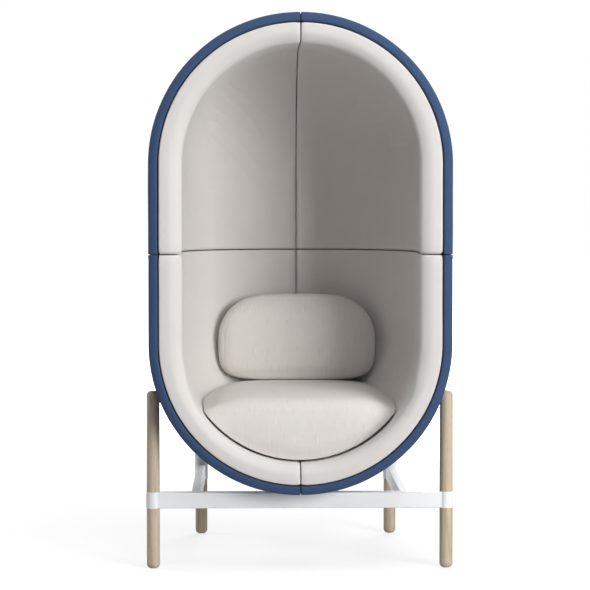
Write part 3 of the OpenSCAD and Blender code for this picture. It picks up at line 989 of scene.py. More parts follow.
    def _placed(self, local: np.ndarray, side: Side, level: Level) -> np.ndarray:
        """Places of the drawn quarter as places on the chair."""
        start = np.array([side.value * POD.seam / 2, POD.rim_y, POD.seam_h + level.value * POD.seam / 2])
        return start + self._turned(local, side, level)

    def _faces(self, stations: int, count: int) -> Iterable[tuple[int, ...]]:
        """Faces between the stations, and a cap on each seam.

        Args:
            stations: How many stations there are.
            count: How many points each of them has.

        Yields:
            Point numbers of a face.
        """
        for i in range(stations - 1):
            for j in range(count):
                k = (j + 1) % count
                yield (i * count + j, i * count + k, (i + 1) * count + k, (i + 1) * count + j)
        flat = [Vector((r, t, 0.0)) for r, t in self.section.points]
        last = (stations - 1) * count
        for a, b, c in tessellate_polygon([flat]):
            yield (a, b, c)
            yield (last + c, last + b, last + a)


def quarter_name(piece: str, side: Side, level: Level) -> str:
    """Name of a quarter's CAD node."""
    return f"{piece}_{level.name.lower()}_{side.name.lower()}"


def build_quarters(shell: QuarterShell, cloth: str, layer: str, finish: Finish, slot: Slot,
                   fill: float) -> None:
    """Makes and dresses the four quarters of a layer.

    Args:
        shell: Form of the quarters.
        cloth: What the pieces' names start with.
        layer: What the names of the layer's CAD nodes start with.
        finish: The layer's finish.
        slot: The record's slot that the finish stands for.
        fill: How full the layer is.
    """
    for side, level in QUARTERS:
        node = quarter_name(layer, side, level)
        piece = shell.build(f"{cloth}_{node}", side, level)
        dress(piece, finish)
        settle(piece, Body.CHAIR, slot, node, fill=fill)


@dataclass
class OuterCovers:
    """Blue wool covers that wrap the shell and turn in round its rim."""

    edge_r: float = 0.005
    face_r: float = 0.036
    edge_end: float = 356.0
    edge_lead: float = 0.001
    corner_steps: int = 7
    face_steps: int = 14
    edge_steps: int = 8
    tongue_steps: int = 4
    seam_radius: float = 0.0026
    waver: float = 0.0004
    waver_scale: Triple = (9.0, 9.0, 9.0)
    waver_seed: float = 3.1
    fill: float = 1.0

    def section(self) -> Section:
        """Outline of the cover: its rounded rim, its outside and its hidden inside.

        Returns:
            The section.
        """
        start = POD.wall_r(POD.lip, 0.0) + self.edge_r
        run = POD.wall_r(0.0, 2 * self.edge_r) - self.edge_r - start
        turn = math.asin(run / (self.face_r - self.edge_r))
        fall = (self.face_r - self.edge_r) * (1 - math.cos(turn))
        face_end = 270 + math.degrees(turn)
        middle = (start + run, self.edge_r + fall)
        corner = arc((start, self.edge_r), self.edge_r, 180, 270, self.corner_steps)
        face = arc((start, self.face_r), self.face_r, 270, face_end, self.face_steps)[1:]
        edge = arc(middle, self.edge_r, face_end, self.edge_end, self.edge_steps)[1:]
        outer = POD.outer_line(0.0, self.edge_r + fall + self.edge_lead, POD.back_steps, POD.wall_steps)
        inner = POD.outer_line(POD.cover, POD.rim_pad, POD.back_steps, POD.wall_steps // 2)[::-1]
        inside = [(POD.wall_r(POD.pad_out, depth), depth) for depth in (POD.rim_pad, POD.return_depth)]
        lip_back = (POD.wall_r(POD.lip, POD.return_depth), POD.return_depth)
        tongue = np.linspace(lip_back, corner[0], self.tongue_steps + 1)[:-1]
        return Section.of([*tongue, *corner, *face, *edge, *outer], [*inner, *inside])

    def _relief(self, points: np.ndarray) -> np.ndarray:
        """The slight waver of stretched cloth."""
        return self.waver * noise_at(points, self.waver_scale, self.waver_seed)

    def build(self) -> None:
        """Makes and dresses the four covers."""
        shell = QuarterShell(self.section(), self.seam_radius, self.seam_radius, self._relief)
        build_quarters(shell, "wool", "outer_cover", WOOL, Slot.COVER, self.fill)


@dataclass
class InnerPads:
    """Thick pads that line the hollow and show as a soft band inside the covered rim."""

    edge_r: float = 0.003
    edge_steps: int = 8
    side_steps: int = 4
    rim_steps: int = 7
    rim_crown: float = 0.0022
    crown_reach: float = 0.6
    nose_r: float = 0.028
    nose_end: float = 184.0
    nose_steps: int = 14
    roll: float = 0.0095
    roll_reach: float = 0.064
    roll_fade: float = 0.85
    fade_power: int = 3
    press_start: float = math.radians(12)
    press_run: float = math.radians(18)
    seam_radius: float = 0.0022
    level_radius: float = 0.008
    seam_open: float = 0.001248
    seam_sink: float = 0.0022
    waver: float = 0.0008
    waver_scale: Triple = (6.0, 5.0, 6.0)
    waver_seed: float = 7.7
    crease: float = 0.0022
    crease_width: float = 0.07
    crease_scale: Triple = (3.0, 4.0, 13.0)
    crease_seed: float = 1.9
    slack_gain: float = 4.0
    slack_scale: Triple = (3.0, 3.0, 3.0)
    slack_seed: float = 5.1
    fill: float = 0.9

    def section(self) -> Section:
        """Outline of the pad: its crowned rim, its nose, the hollow's wall and its hidden back.

        Returns:
            The section.
        """
        step_t = POD.return_depth + POD.rim_gap
        outer_r = POD.wall_r(POD.lip, self.edge_r) - POD.rim_gap
        middle = (POD.hollow_r + self.nose_r, self.nose_r)
        nose = arc(middle, self.nose_r, 270, self.nose_end, self.nose_steps)
        back = POD.outer_line(POD.pad_out, step_t, POD.back_steps // 2, POD.wall_steps // 2)[::-1]
        step = (POD.wall_r(POD.lip, step_t) - POD.rim_gap, step_t)
        edge = arc((outer_r - self.edge_r, self.edge_r), self.edge_r, 0, -90, self.edge_steps)
        side_wall = np.linspace(step, edge[0], self.side_steps + 1)[1:-1]
        rim = np.linspace(edge[-1], nose[0], self.rim_steps + 1)[1:-1]
        made = Section.of([step, *side_wall, *edge, *rim, *nose, *POD.hollow_line(self.nose_r)], back)
        rim_r, half = (edge[-1][0] + nose[0][0]) / 2, POD.pad / 2
        crown = np.clip(1 - ((made.points[:, 0] - rim_r) / half) ** 2, 0, 1)
        front = made.points[:, 1] < self.nose_r * self.crown_reach
        made.points[:, 1] -= np.where(front, self.rim_crown * crown, 0.0)
        return made

    def _roll(self, points: np.ndarray, level: Level, turn: float) -> np.ndarray:
        """How far the soft roll behind the rim stands into the hollow.

        Args:
            points: The section's points, as rows of radius and depth.
            level: Upper or lower half. The seat cushion presses the roll flat in the lower one.
            turn: How far round the quarter's end the section is, in radians.

        Returns:
            One length for each point of the section.
        """
        if level is Level.UPPER:
            share = 1 - self.roll_fade * math.sin(turn) ** self.fade_power
        else:
            share = 1 - smooth_step((turn - self.press_start) / self.press_run)
        half = POD.pad / 2
        near = smooth_step((POD.hollow_r + half - points[:, 0]) / half)
        deep = smooth_step((self.roll_reach - points[:, 1]) / (self.roll_reach - self.nose_r))
        return self.roll * share * near * deep

    def _relief(self, points: np.ndarray) -> np.ndarray:
        """Soft waver of the foam and faint slanting creases in the cloth, which the rim has none of.

        Args:
            points: Places on the chair.

        Returns:
            One height for each place.
        """
        soft = self.waver * noise_at(points, self.waver_scale, self.waver_seed)
        out = np.abs(points[:, 0])
        slant = np.column_stack([points[:, 2] + out, points[:, 1], points[:, 2] - out])
        ripple = np.abs(noise_at(slant, self.crease_scale, self.crease_seed))
        folds = np.clip(1 - ripple / self.crease_width, 0, 1)
        slack = np.clip(self.slack_gain * noise_at(points, self.slack_scale, self.slack_seed), 0, 1)
        slack *= smooth_step((points[:, 1] - POD.rim_y) / self.roll_reach - 1)
        return soft - self.crease * folds * slack

    def build(self) -> None:
        """Makes and dresses the four pads."""
        shell = QuarterShell(self.section(), self.seam_radius, self.level_radius, self._relief, self._roll,
                             seam_open=self.seam_open, seam_sink=self.seam_sink)
        build_quarters(shell, "cloth", "inner_pad", PAD_CLOTH, Slot.PAD, self.fill)


# Loose cushions


@dataclass
class RingForm:
    """Closed form through rings of equal length, with a point at each end."""

    rings: list[np.ndarray]
    first_tip: np.ndarray
    last_tip: np.ndarray

    def mesh(self, name: str) -> bpy.types.Mesh:
        """Makes the form's mesh.

        Args:
            name: The mesh's name.

        Returns:
            A closed mesh.
        """
        count, last = len(self.rings[0]), len(self.rings) - 1
        points = np.vstack([*self.rings, self.first_tip, self.last_tip])
        first, final = len(points) - 2, len(points) - 1
        faces: list[tuple[int, ...]] = []
        for j in range(count):
            k = (j + 1) % count
            for i in range(last):
                faces.append((i * count + j, i * count + k, (i + 1) * count + k, (i + 1) * count + j))
            faces += [(k, j, first), (last * count + j, last * count + k, final)]
        return closed_mesh(name, points, faces)


CLOTH_RUN = {
    "quality": 4,
    "mass": 0.3,
    "tension_stiffness": 20.0,
    "compression_stiffness": 20.0,
    "shear_stiffness": 8.0,
    "bending_stiffness": 0.6,
    "air_damping": 2.0,
    "use_pressure": True,
    "uniform_pressure_force": 4.0,
}


@dataclass(frozen=True)
class Stuffing:
    """Swells a smaller, evenly meshed copy of a cushion by a cloth run and takes its relief from that."""

    voxel: float = 0.0055
    shrink: float = 0.006
    even_share: float = 0.5
    even_steps: int = 4
    frames: int = 20
    reach: float = 0.025
    deepest: float = 0.0025
    proud: float = 0.0006
    outer_clips: Pair = (4.0, 2.0)
    ease_steps: int = 14

    def fill(self, form: RingForm, name: str) -> bpy.types.Object:
        """Makes the filled cushion.

        Args:
            form: The cushion's finished form.
            name: Name of the piece that is made.

        Returns:
            A piece that lies on the form, but for the soft relief of the cloth run.
        """
        piece = add_object(name, form.mesh(name))
        swollen = self._swollen(piece)
        mesh = piece.data
        points, normals = read_rows(mesh, PointRow.PLACE), read_rows(mesh, PointRow.NORMAL)
        depth = np.sum((points - on_surface(swollen, points)) * normals, axis=1)
        out, deep = self.outer_clips[0] * self.proud, self.outer_clips[1] * self.deepest
        relief = self._eased(mesh, np.clip(depth - np.median(depth), -out, deep))
        move_points(mesh, points - normals * np.clip(relief, -self.proud, self.deepest)[:, None])
        return piece

    def _eased(self, mesh: bpy.types.Mesh, values: np.ndarray) -> np.ndarray:
        """Evens out the values at a mesh's points with those of their neighbours.

        Args:
            mesh: The mesh.
            values: One number for each point.

        Returns:
            One evener number for each point.
        """
        flat = np.empty(2 * len(mesh.edges), np.int64)
        mesh.edges.foreach_get("vertices", flat)
        ends = flat.reshape(-1, 2)
        count = np.bincount(flat, minlength=len(values))
        for _ in range(self.ease_steps):
            total = np.bincount(ends[:, 0], values[ends[:, 1]], len(values))
            total += np.bincount(ends[:, 1], values[ends[:, 0]], len(values))
            values = 0.5 * values + 0.5 * total / count
        return values

    def _swollen(self, piece: bpy.types.Object) -> bpy.types.Mesh:
        """Swells an evenly meshed copy of a piece.

        Args:
            piece: The piece, which stays as it is.

        Returns:
            The copy's mesh after the cloth run, with each point's step kept short.
        """
        even = add_object(f"{piece.name}_even", piece.data.copy())
        remesh = even.modifiers.new("Even", "REMESH")
        remesh.mode = "VOXEL"
        remesh.voxel_size = self.voxel
        smooth = even.modifiers.new("Steps", "SMOOTH")
        smooth.factor = self.even_share
        smooth.iterations = self.even_steps
        apply_modifiers(even)
        mesh = even.data
        start = read_rows(mesh, PointRow.PLACE) - self.shrink * read_rows(mesh, PointRow.NORMAL)
        move_points(mesh, start)
        self._add_cloth(even)
        for frame in range(1, self.frames + 1):
            bpy.context.scene.frame_set(frame)
        step = read_rows(evaluated_mesh(even), PointRow.PLACE) - start
        bpy.context.scene.frame_set(1)
        even.modifiers.clear()
        length = np.linalg.norm(step, axis=1)[:, None]
        move_points(mesh, start + step * np.minimum(1.0, self.reach / np.maximum(length, TINY)))
        bpy.data.objects.remove(even)
        return mesh

    def _add_cloth(self, piece: bpy.types.Object) -> None:
        """Adds the cloth run to a piece.

        Args:
            piece: The piece that is swollen.
        """
        cloth = piece.modifiers.new("Cloth", "CLOTH")
        for name, value in CLOTH_RUN.items():
            setattr(cloth.settings, name, value)
        cloth.settings.effector_weights.gravity = 0.0
        cloth.point_cache.frame_start = 1
        cloth.point_cache.frame_end = self.frames


@dataclass
class SeatCushion:
    """Seat cushion that fills the foot of the hollow, with a crowned top and a full front."""

    height: float = 0.466
    rise: float = 0.013
    front_t: float = 0.074
    front_drop: float = 0.035
    back_drop: float = 0.002
    roll: float = 0.045
    low_roll: float = 0.004
    crown_power: float = 5.0
    drop_power: float = 3.5
    drop_share: float = 0.87
    tip_r: float = 0.004
    face_crown: float = 0.006
    end_share: float = 0.5
    side_gap: float = 0.0012
    ridge: float = 0.0045
    ridge_t: float = 0.492
    ridge_front: float = 0.042
    ridge_rear: float = 0.010
    ridge_half: float = 0.215
    ridge_power: int = 4
    face_shares: tuple[float, ...] = (0.12, 0.3, 0.5, 0.7, 0.86)
    end_shares: tuple[float, ...] = (0.75, 0.5, 0.25)
    top_steps: int = 56
    low_steps: int = 64
    roll_steps: int = 12
    run_steps: int = 9
    back_steps: int = 47
    fill: float = 0.85

    @property
    def end_t(self) -> float:
        """Depth of the seat's rear end."""
        run = (1 - self.end_share**POD.power) ** (1 / POD.power)
        return POD.inner_start + (POD.hollow_d - POD.inner_start) * run

    def _run(self, depth: float) -> float:
        """Share of the way from the front face to the rear end."""
        return max(0.0, (depth - self.front_t) / (self.end_t - self.front_t))

    def top_h(self, depth: float) -> float:
        """Height of the seat's middle line."""
        return self.height + self.rise * math.sin(math.pi / 2 * min(1.0, self._run(depth)))

    def _ridge(self, depth: float, x: np.ndarray) -> np.ndarray:
        """How far the cloth is pressed up just in front of the back cushion.

        Args:
            depth: Depth behind the rim.
            x: Places across the seat.

        Returns:
            One height for each place.
        """
        reach = self.ridge_front if depth < self.ridge_t else self.ridge_rear
        near = float(smooth_step(1 - abs(depth - self.ridge_t) / reach))
        return self.ridge * near * np.clip(1 - (x / self.ridge_half) ** self.ridge_power, 0, 1)

    def _ring(self, depth: float, drawn: float = 0.0) -> np.ndarray:
        """One ring across the seat, over its top and back along the hollow.

        Args:
            depth: Depth behind the rim.
            drawn: How much of the front's rolled edge draws the ring in, from 0 to 1.

        Returns:
            One row of x, y and z for each point.
        """
        risen = min(1.0, self._run(depth) / self.drop_share) ** self.drop_power
        drop = self.front_drop + (self.back_drop - self.front_drop) * risen
        edge_h = self.top_h(depth) - drop - self.roll * drawn
        radius = POD.hollow_radius(depth) - self.side_gap - self.low_roll * drawn
        half = math.sqrt(radius**2 - (POD.end_h - edge_h) ** 2) - self.tip_r
        share = -np.cos(np.linspace(0, math.pi, self.top_steps + 1))
        crown = drop * (1 - np.abs(share) ** self.crown_power)
        top_h = edge_h + crown + self._ridge(depth, half * share)
        top = np.column_stack([half * share, np.zeros_like(share), top_h])
        x = (half + self.tip_r) * np.cos(np.linspace(0, math.pi, self.low_steps + 1)[1:-1])
        low = np.column_stack([x, np.zeros_like(x), POD.end_h - np.sqrt(radius**2 - x**2)])
        ring = np.vstack([top, low])
        ring[:, 1] = POD.rim_y + depth
        return ring

    def _ring_middle(self, ring: np.ndarray) -> np.ndarray:
        """Point halfway between the start of a ring's top and the middle of its underside."""
        return np.array([0.0, ring[0, 1], (ring[0, 2] + ring[self.top_steps + self.low_steps // 2, 2]) / 2])

    def form(self) -> RingForm:
        """Rings of the whole cushion, from its front face to its rear end.

        Returns:
            The form.
        """
        face = self._ring(self.front_t, 1.0)
        middle = self._ring_middle(face)
        caps = []
        for share in self.face_shares:
            cap = middle + share * (face - middle)
            cap[:, 1] -= self.face_crown * (1 - share**2)
            caps.append(cap)
        angles = np.linspace(0, math.pi / 2, self.roll_steps + 1)[1:]
        rolls = [self._ring(self.front_t + self.roll * (1 - math.cos(a)), 1 - math.sin(a)) for a in angles]
        walls = np.linspace(self.front_t + self.roll, POD.inner_start, self.run_steps + 1)[1:]
        span = POD.hollow_d - POD.inner_start
        end_angle = math.asin(((self.end_t - POD.inner_start) / span) ** (POD.power / 2))
        turns = np.linspace(0, end_angle, self.back_steps + 1)[1:]
        backs = [POD.inner_start + span * math.sin(a) ** (2 / POD.power) for a in turns]
        rear = [self._ring(t) for t in [*walls, *backs]]
        tip = self._ring_middle(rear[-1])
        inner = [tip + share * (rear[-1] - tip) for share in self.end_shares]
        return RingForm([*caps, face, *rolls, *rear, *inner], middle - [0.0, self.face_crown, 0.0], tip)

    def build(self) -> None:
        """Makes, fills and dresses the seat cushion."""
        piece = Stuffing().fill(self.form(), "linen_seat_cushion")
        finish_cushion(piece)
        settle(piece, Body.CHAIR, Slot.CUSHION, "seat_cushion", fill=self.fill)


@dataclass
class BackCushion:
    """Loose back cushion: a plump rounded rectangle whose ends curve forward."""

    width: float = 0.464
    height: float = 0.257
    front: float = 0.062
    rear: float = 0.062
    middle_t: float = 0.535851
    bow: float = 0.026
    seat_gap: float = 0.0004
    wide_power: float = 4.0
    top_power: float = 1.8
    low_power: float = 4.8
    least_power: float = 2.4
    power_run: float = 16.0
    edge_power: float = 0.85
    low_flat: float = 1.12
    low_edge_power: float = 0.5
    low_knee: float = 24.0
    seam_tilt: float = -24.0
    seam_spread: float = 1.4
    seam_depth: float = 0.0022
    seam_places: tuple[float, ...] = (-2.6, -1.7, -1.0, -0.5, 0.0, 0.5, 1.0, 1.7, 2.6)
    seam_clear: float = 3.4
    steps: int = 132
    rings: int = 42
    stuffing: Stuffing = Stuffing(voxel=0.005, shrink=0.005)
    fill: float = 0.8

    def _size(self, tilt: float) -> float:
        """A ring's share of the whole width and of the upper half's height."""
        return math.cos(math.radians(tilt)) ** self.edge_power

    def _low_size(self, tilt: float) -> float:
        """A ring's share of the lower half's height: the front presses flat on the seat, up to a short edge.

        Args:
            tilt: The ring's place, from -90 degrees at the front pole to 90 at the rear one.

        Returns:
            The share.
        """
        if tilt >= 0:
            return self._size(tilt)
        full = self.low_flat**-self.low_knee
        raw = self.low_flat * math.cos(math.radians(tilt)) ** self.low_edge_power
        return ((raw**-self.low_knee + 1) / (full + 1)) ** (-1 / self.low_knee)

    def _ring(self, tilt: float, seat: SeatCushion) -> np.ndarray:
        """One ring round the cushion.

        Args:
            tilt: The ring's place, from -90 degrees at the front pole to 90 at the rear one.
            seat: The seat cushion that it stands on.

        Returns:
            One row of x, y and z for each point.
        """
        half = self.front if tilt < 0 else self.rear
        low = max(self.least_power, self.low_power - max(0.0, tilt) / self.power_run)
        angles = np.linspace(0, 2 * math.pi, self.steps, endpoint=False)
        cosine, sine = np.cos(angles), np.sin(angles)
        wide = 2 / np.where(sine < 0, low, self.wide_power)
        tall = 2 / np.where(sine < 0, low, self.top_power)
        x = np.sign(cosine) * np.abs(cosine) ** wide * self._size(tilt)
        z = np.sign(sine) * np.abs(sine) ** tall * np.where(sine < 0, self._low_size(tilt), self._size(tilt))
        lean = math.copysign(abs(math.sin(math.radians(tilt))) ** self.edge_power, tilt)
        depth = POD.rim_y + self.middle_t - self.bow * x**2 + half * lean
        height = self.middle_h(seat) + z * self.height / 2
        near = math.exp(-(((tilt - self.seam_tilt) / self.seam_spread) ** 2))
        ring = evened(np.column_stack([x * self.width / 2, depth, height]))
        return drawn_in(ring, self.seam_depth * near)

    def middle_h(self, seat: SeatCushion) -> float:
        """Height of the cushion's middle as it stands on the seat."""
        return seat.top_h(self.middle_t) + self.seat_gap + self.height / 2

    def _tilts(self) -> np.ndarray:
        """Places of the rings, closer beside the seam.

        Returns:
            Tilts in degrees, from the front to the rear.
        """
        even = np.linspace(-90, 90, self.rings + 2)[1:-1]
        close = self.seam_tilt + self.seam_spread * np.array(self.seam_places)
        clear = np.abs(even - self.seam_tilt) > self.seam_clear * self.seam_spread
        return np.sort(np.concatenate([even[clear], close]))

    def form(self, seat: SeatCushion) -> RingForm:
        """Rings of the whole cushion.

        Args:
            seat: The seat cushion that it stands on.

        Returns:
            The form.
        """
        pole = np.array([0.0, POD.rim_y + self.middle_t, self.middle_h(seat)])
        rings = [self._ring(tilt, seat) for tilt in self._tilts()]
        return RingForm(rings, pole - [0, self.front, 0], pole + [0, self.rear, 0])

    def build(self, seat: SeatCushion) -> None:
        """Makes, fills and dresses the back cushion, and stitches its seam.

        Args:
            seat: The seat cushion that it stands on.
        """
        piece = self.stuffing.fill(self.form(seat), "linen_back_cushion")
        finish_cushion(piece)
        settle(piece, Body.BACK_CUSHION, Slot.CUSHION, "back_cushion", fill=self.fill)
        seam = on_surface(piece.data, self._ring(self.seam_tilt, seat))
        settle(Stitches().build("back_cushion_stitches", seam), Body.BACK_CUSHION, Slot.CUSHION)


def evened(ring: np.ndarray) -> np.ndarray:
    """Spaces a closed ring's points more evenly.

    Args:
        ring: One row of x, y and z for each point.

    Returns:
        As many rows, of which the first is kept.
    """
    closed = np.vstack([ring, ring[:1]])
    run = run_along(closed)
    marks = np.linspace(0, run[-1], len(ring), endpoint=False)
    return np.column_stack([np.interp(marks, run, closed[:, axis]) for axis in range(3)])


def drawn_in(ring: np.ndarray, amount: float) -> np.ndarray:
    """Draws a closed, upright ring in.

    Args:
        ring: One row of x, y and z for each point.
        amount: How far each point moves inwards.

    Returns:
        The moved rows.
    """
    ahead = np.roll(ring, -1, axis=0) - np.roll(ring, 1, axis=0)
    inward = np.column_stack([-ahead[:, 2], np.zeros(len(ring)), ahead[:, 0]])
    return ring + amount * inward / np.maximum(np.linalg.norm(inward, axis=1), TINY)[:, None]


def finish_cushion(piece: bpy.types.Object) -> None:
    """Subdivides a filled cushion once, lays the cloth's coordinates on it and dresses it in linen.

    Args:
        piece: The cushion.
    """
    fine = piece.modifiers.new("Fine", "SUBSURF")
    fine.levels = fine.render_levels = 1
    apply_modifiers(piece)
    mesh = piece.data
    points, normals = read_rows(mesh, PointRow.PLACE), read_rows(mesh, PointRow.NORMAL)
    round_end = np.sign(points[:, 0]) * np.clip(np.abs(normals[:, 0]), 0, 1) ** 2
    across = points[:, 0] + round_end * (points[:, 1] - points[:, 1].min())
    write_weave(mesh, np.column_stack([across, points[:, 1] + points[:, 2]]))
    mesh.polygons.foreach_set("use_smooth", [True] * len(mesh.polygons))
    dress(piece, LINEN)


# What repeats along a line


class GeometryKit(NodeKit):
    """Builds one Geometry Nodes tree with named inputs and runs it on closed lines."""

    def __init__(self, name: str) -> None:
        """Makes the empty tree with its geometry in and out.

        Args:
            name: The tree's name.
        """
        super().__init__(bpy.data.node_groups.new(name, "GeometryNodeTree"))
        for way in ("INPUT", "OUTPUT"):
            self.tree.interface.new_socket("Geometry", in_out=way, socket_type="NodeSocketGeometry")
        self.entry = self.tree.nodes.new("NodeGroupInput")
        self.sizes: dict[str, float] = {}

    def size(self, name: str, value: float) -> Num:
        """Adds a named input for a size.

        Args:
            name: The input's name.
            value: The size.

        Returns:
            The size inside the tree.
        """
        made = self.tree.interface.new_socket(name, in_out="INPUT", socket_type="NodeSocketFloat")
        self.sizes[made.identifier] = value
        return Num(self, self.entry.outputs[name])

    def marks(self, step: Num) -> bpy.types.NodeSocket:
        """The lines with a point at every step along them."""
        inputs = {"Curve": self.entry.outputs[0], "Length": step}
        return self.add("GeometryNodeResampleCurve", {"mode": "LENGTH"}, inputs).outputs[0]

    def run(self, name: str, lines: Sequence[np.ndarray], made: bpy.types.NodeSocket,
            finish: Finish) -> bpy.types.Object:
        """Ends the tree, with instances made real and the material last, and runs it.

        Args:
            name: Name of the new piece.
            lines: Closed lines of points that the tree starts from.
            made: What the tree makes.
            finish: The finish that it gets.

        Returns:
            A plain mesh object.
        """
        real = self.add("GeometryNodeRealizeInstances", None, {0: made})
        smooth = self.add("GeometryNodeSetShadeSmooth", None, {0: real.outputs[0]})
        inputs = {0: smooth.outputs[0], "Material": finish.material()}
        coated = self.add("GeometryNodeSetMaterial", None, inputs)
        self.add("NodeGroupOutput", None, {0: coated.outputs[0]})
        curve = bpy.data.curves.new(name, "CURVE")
        curve.dimensions = "3D"
        for line in lines:
            spline = curve.splines.new("POLY")
            spline.points.add(len(line) - 1)
            spline.points.foreach_set("co", np.column_stack([line, np.ones(len(line))]).ravel())
            spline.use_cyclic_u = True
        start = add_object(name, curve)
        nodes = start.modifiers.new(self.tree.name, "NODES")
        nodes.node_group = self.tree
        for identifier, value in self.sizes.items():
            nodes[identifier] = value
        bpy.context.view_layer.update()
        mesh = evaluated_mesh(start)
        bpy.data.objects.remove(start)
        piece = add_object(name, mesh)
        dress(piece, finish)
        return piece


@dataclass(frozen=True)
class WeldBeads:
    """Rippled beads along the joints of the stand, under the powder coat."""

    radius: float = 0.0013
    ripple: float = 0.0016
    swell: float = 0.16
    step: float = 0.0007
    sides: int = 8

    def build(self, name: str, lines: Sequence[np.ndarray]) -> bpy.types.Object:
        """Makes the beads.

        Args:
            name: Name of the new piece.
            lines: Closed lines of points, one round each joint.

        Returns:
            One mesh object.
        """
        kit = GeometryKit("weld_bead")
        radius = kit.size("Radius", self.radius)
        ripple = kit.size("Ripple", self.ripple)
        step = kit.size("Step", self.step)
        fine = kit.marks(step)
        run = kit.number("GeometryNodeSplineParameter", output="Length")
        wave = (run * (2 * math.pi) * (ripple ** -1.0)).sine() * self.swell + 1.0
        shaped = kit.add("GeometryNodeSetCurveRadius", None, {"Curve": fine, "Radius": wave})
        circle = kit.add("GeometryNodeCurvePrimitiveCircle", {"mode": "RADIUS"},
                         {"Resolution": self.sides, "Radius": radius})
        tube = kit.add("GeometryNodeCurveToMesh", None, {
            "Curve": shaped.outputs[0],
            "Profile Curve": circle.outputs[0],
            "Scale": kit.number("GeometryNodeInputRadius"),
        })
        return kit.run(name, lines, tube.outputs[0], POWDER)


@dataclass(frozen=True)
class Stitches:
    """Thread stitches that lie in a seam."""

    pitch: float = 0.0046
    length: float = 0.0031
    thread: float = 0.0008
    segments: int = 7
    rings: int = 5

    def build(self, name: str, seam: np.ndarray) -> bpy.types.Object:
        """Makes the stitches.

        Args:
            name: Name of the new piece.
            seam: Closed line of points along the seam.

        Returns:
            One mesh object.
        """
        kit = GeometryKit("seam_stitches")
        pitch = kit.size("Pitch", self.pitch)
        length = kit.size("Length", self.length)
        thread = kit.size("Thread", self.thread)
        tangent = kit.add("GeometryNodeInputTangent").outputs[0]
        turn = kit.add("FunctionNodeAlignRotationToVector", {"axis": "Z"}, {"Vector": tangent})
        ball = kit.add("GeometryNodeMeshUVSphere", None,
                       {"Segments": self.segments, "Rings": self.rings, "Radius": 1.0})
        half, reach = thread * 0.5, length * 0.5
        size = kit.add("ShaderNodeCombineXYZ", None, {"X": half, "Y": half, "Z": reach})
        laid = kit.add("GeometryNodeInstanceOnPoints", None, {
            "Points": kit.marks(pitch),
            "Instance": ball.outputs[0],
            "Rotation": turn.outputs[0],
            "Scale": size.outputs[0],
        })
        return kit.run(name, [seam], laid.outputs[0], THREAD)


# Stand


@dataclass
class SteelStand:
    """White steel stand: its CAD nodes get their finishes, and its joints get weld beads."""

    leg_x: float = 0.401775
    rail_x: float = 0.285
    front_y: float = -0.26435
    rear_y: float = 0.34465
    bar_mid_h: float = 0.188
    bar_h: float = 0.044
    bar_t: float = 0.030
    rail_t: float = 0.025
    tube_r: float = 0.0197
    rear_bar_h: float = 0.450
    edge_steps: int = 12
    beads: WeldBeads = WeldBeads()
    inset_share: float = 0.6
    proud_share: float = 0.35
    rail_share: float = 0.3
    bars: tuple[str, ...] = ("front_crossbar", "rear_crossbar")
    pairs: tuple[str, ...] = ("front_sleeve", "side_rail", "rear_post", "rear_spacer")

    def _tube_joint(self, middle: Triple, ahead: Pair, wide: float) -> np.ndarray:
        """Line round the joint where a bar meets a round tube.

        Args:
            middle: Where the tube's axis meets the bar's.
            ahead: Direction from the tube along the bar.
            wide: Width of the bar.

        Returns:
            One row of x, y and z for each point, on the tube's surface.
        """
        inset = self.beads.radius * self.inset_share
        points = []
        for share, height in self._rectangle(self.bar_h / 2 - inset):
            off = (wide / 2 - inset) * share
            reach = math.sqrt(self.tube_r**2 - off**2) + self.beads.radius * self.proud_share
            points.append((ahead[0] * reach - ahead[1] * off, ahead[1] * reach + ahead[0] * off, height))
        return np.array(middle) + np.array(points)

    def _rail_joint(self, x: float) -> np.ndarray:
        """Line round the joint where a side rail meets the back of the front crossbar.

        Args:
            x: Place of the rail's middle.

        Returns:
            One row of x, y and z for each point.
        """
        bead = self.beads.radius
        half = self.rail_t / 2 - bead * self.rail_share
        y = self.front_y + self.bar_t / 2 + bead * self.rail_share
        shape = self._rectangle(self.bar_h / 2 - bead)
        return np.array([(x + half * share, y, self.bar_mid_h + height) for share, height in shape])

    def _rectangle(self, half: float) -> list[Pair]:
        """Points round a rectangle.

        Args:
            half: Half of its height.

        Returns:
            Pairs of a share across it, from -1 to 1, and a height.
        """
        across = np.linspace(-1, 1, self.edge_steps + 1)
        up = np.linspace(-half, half, self.edge_steps + 1)
        low, right = [(share, -half) for share in across], [(1.0, height) for height in up[1:]]
        top, left = [(share, half) for share in across[-2::-1]], [(-1.0, height) for height in up[-2:0:-1]]
        return low + right + top + left

    def build(self) -> None:
        """Dresses the stand and lays its weld beads."""
        dress_nodes(POWDER, *self.bars, *both_sides(*self.pairs))
        dress_nodes(PLASTIC, *both_sides("rear_post_cap"))
        lines = []
        for side in Side:
            inward = (-side.value, 0.0)
            leg_x, rail_x = side.value * self.leg_x, side.value * self.rail_x
            lines += [
                self._tube_joint((leg_x, self.front_y, self.bar_mid_h), inward, self.bar_t),
                self._tube_joint((rail_x, self.rear_y, self.rear_bar_h), inward, self.bar_t),
                self._tube_joint((rail_x, self.rear_y, self.bar_mid_h), (0.0, -1.0), self.rail_t),
                self._rail_joint(rail_x),
            ]
        settle(self.beads.build("stand_weld_beads", lines), Body.CHAIR, Slot.FRAME)


def both_sides(*pieces: str) -> list[str]:
    """Names of the left and right CAD node of each piece."""
    return [f"{piece}_{side.name.lower()}" for piece in pieces for side in Side]


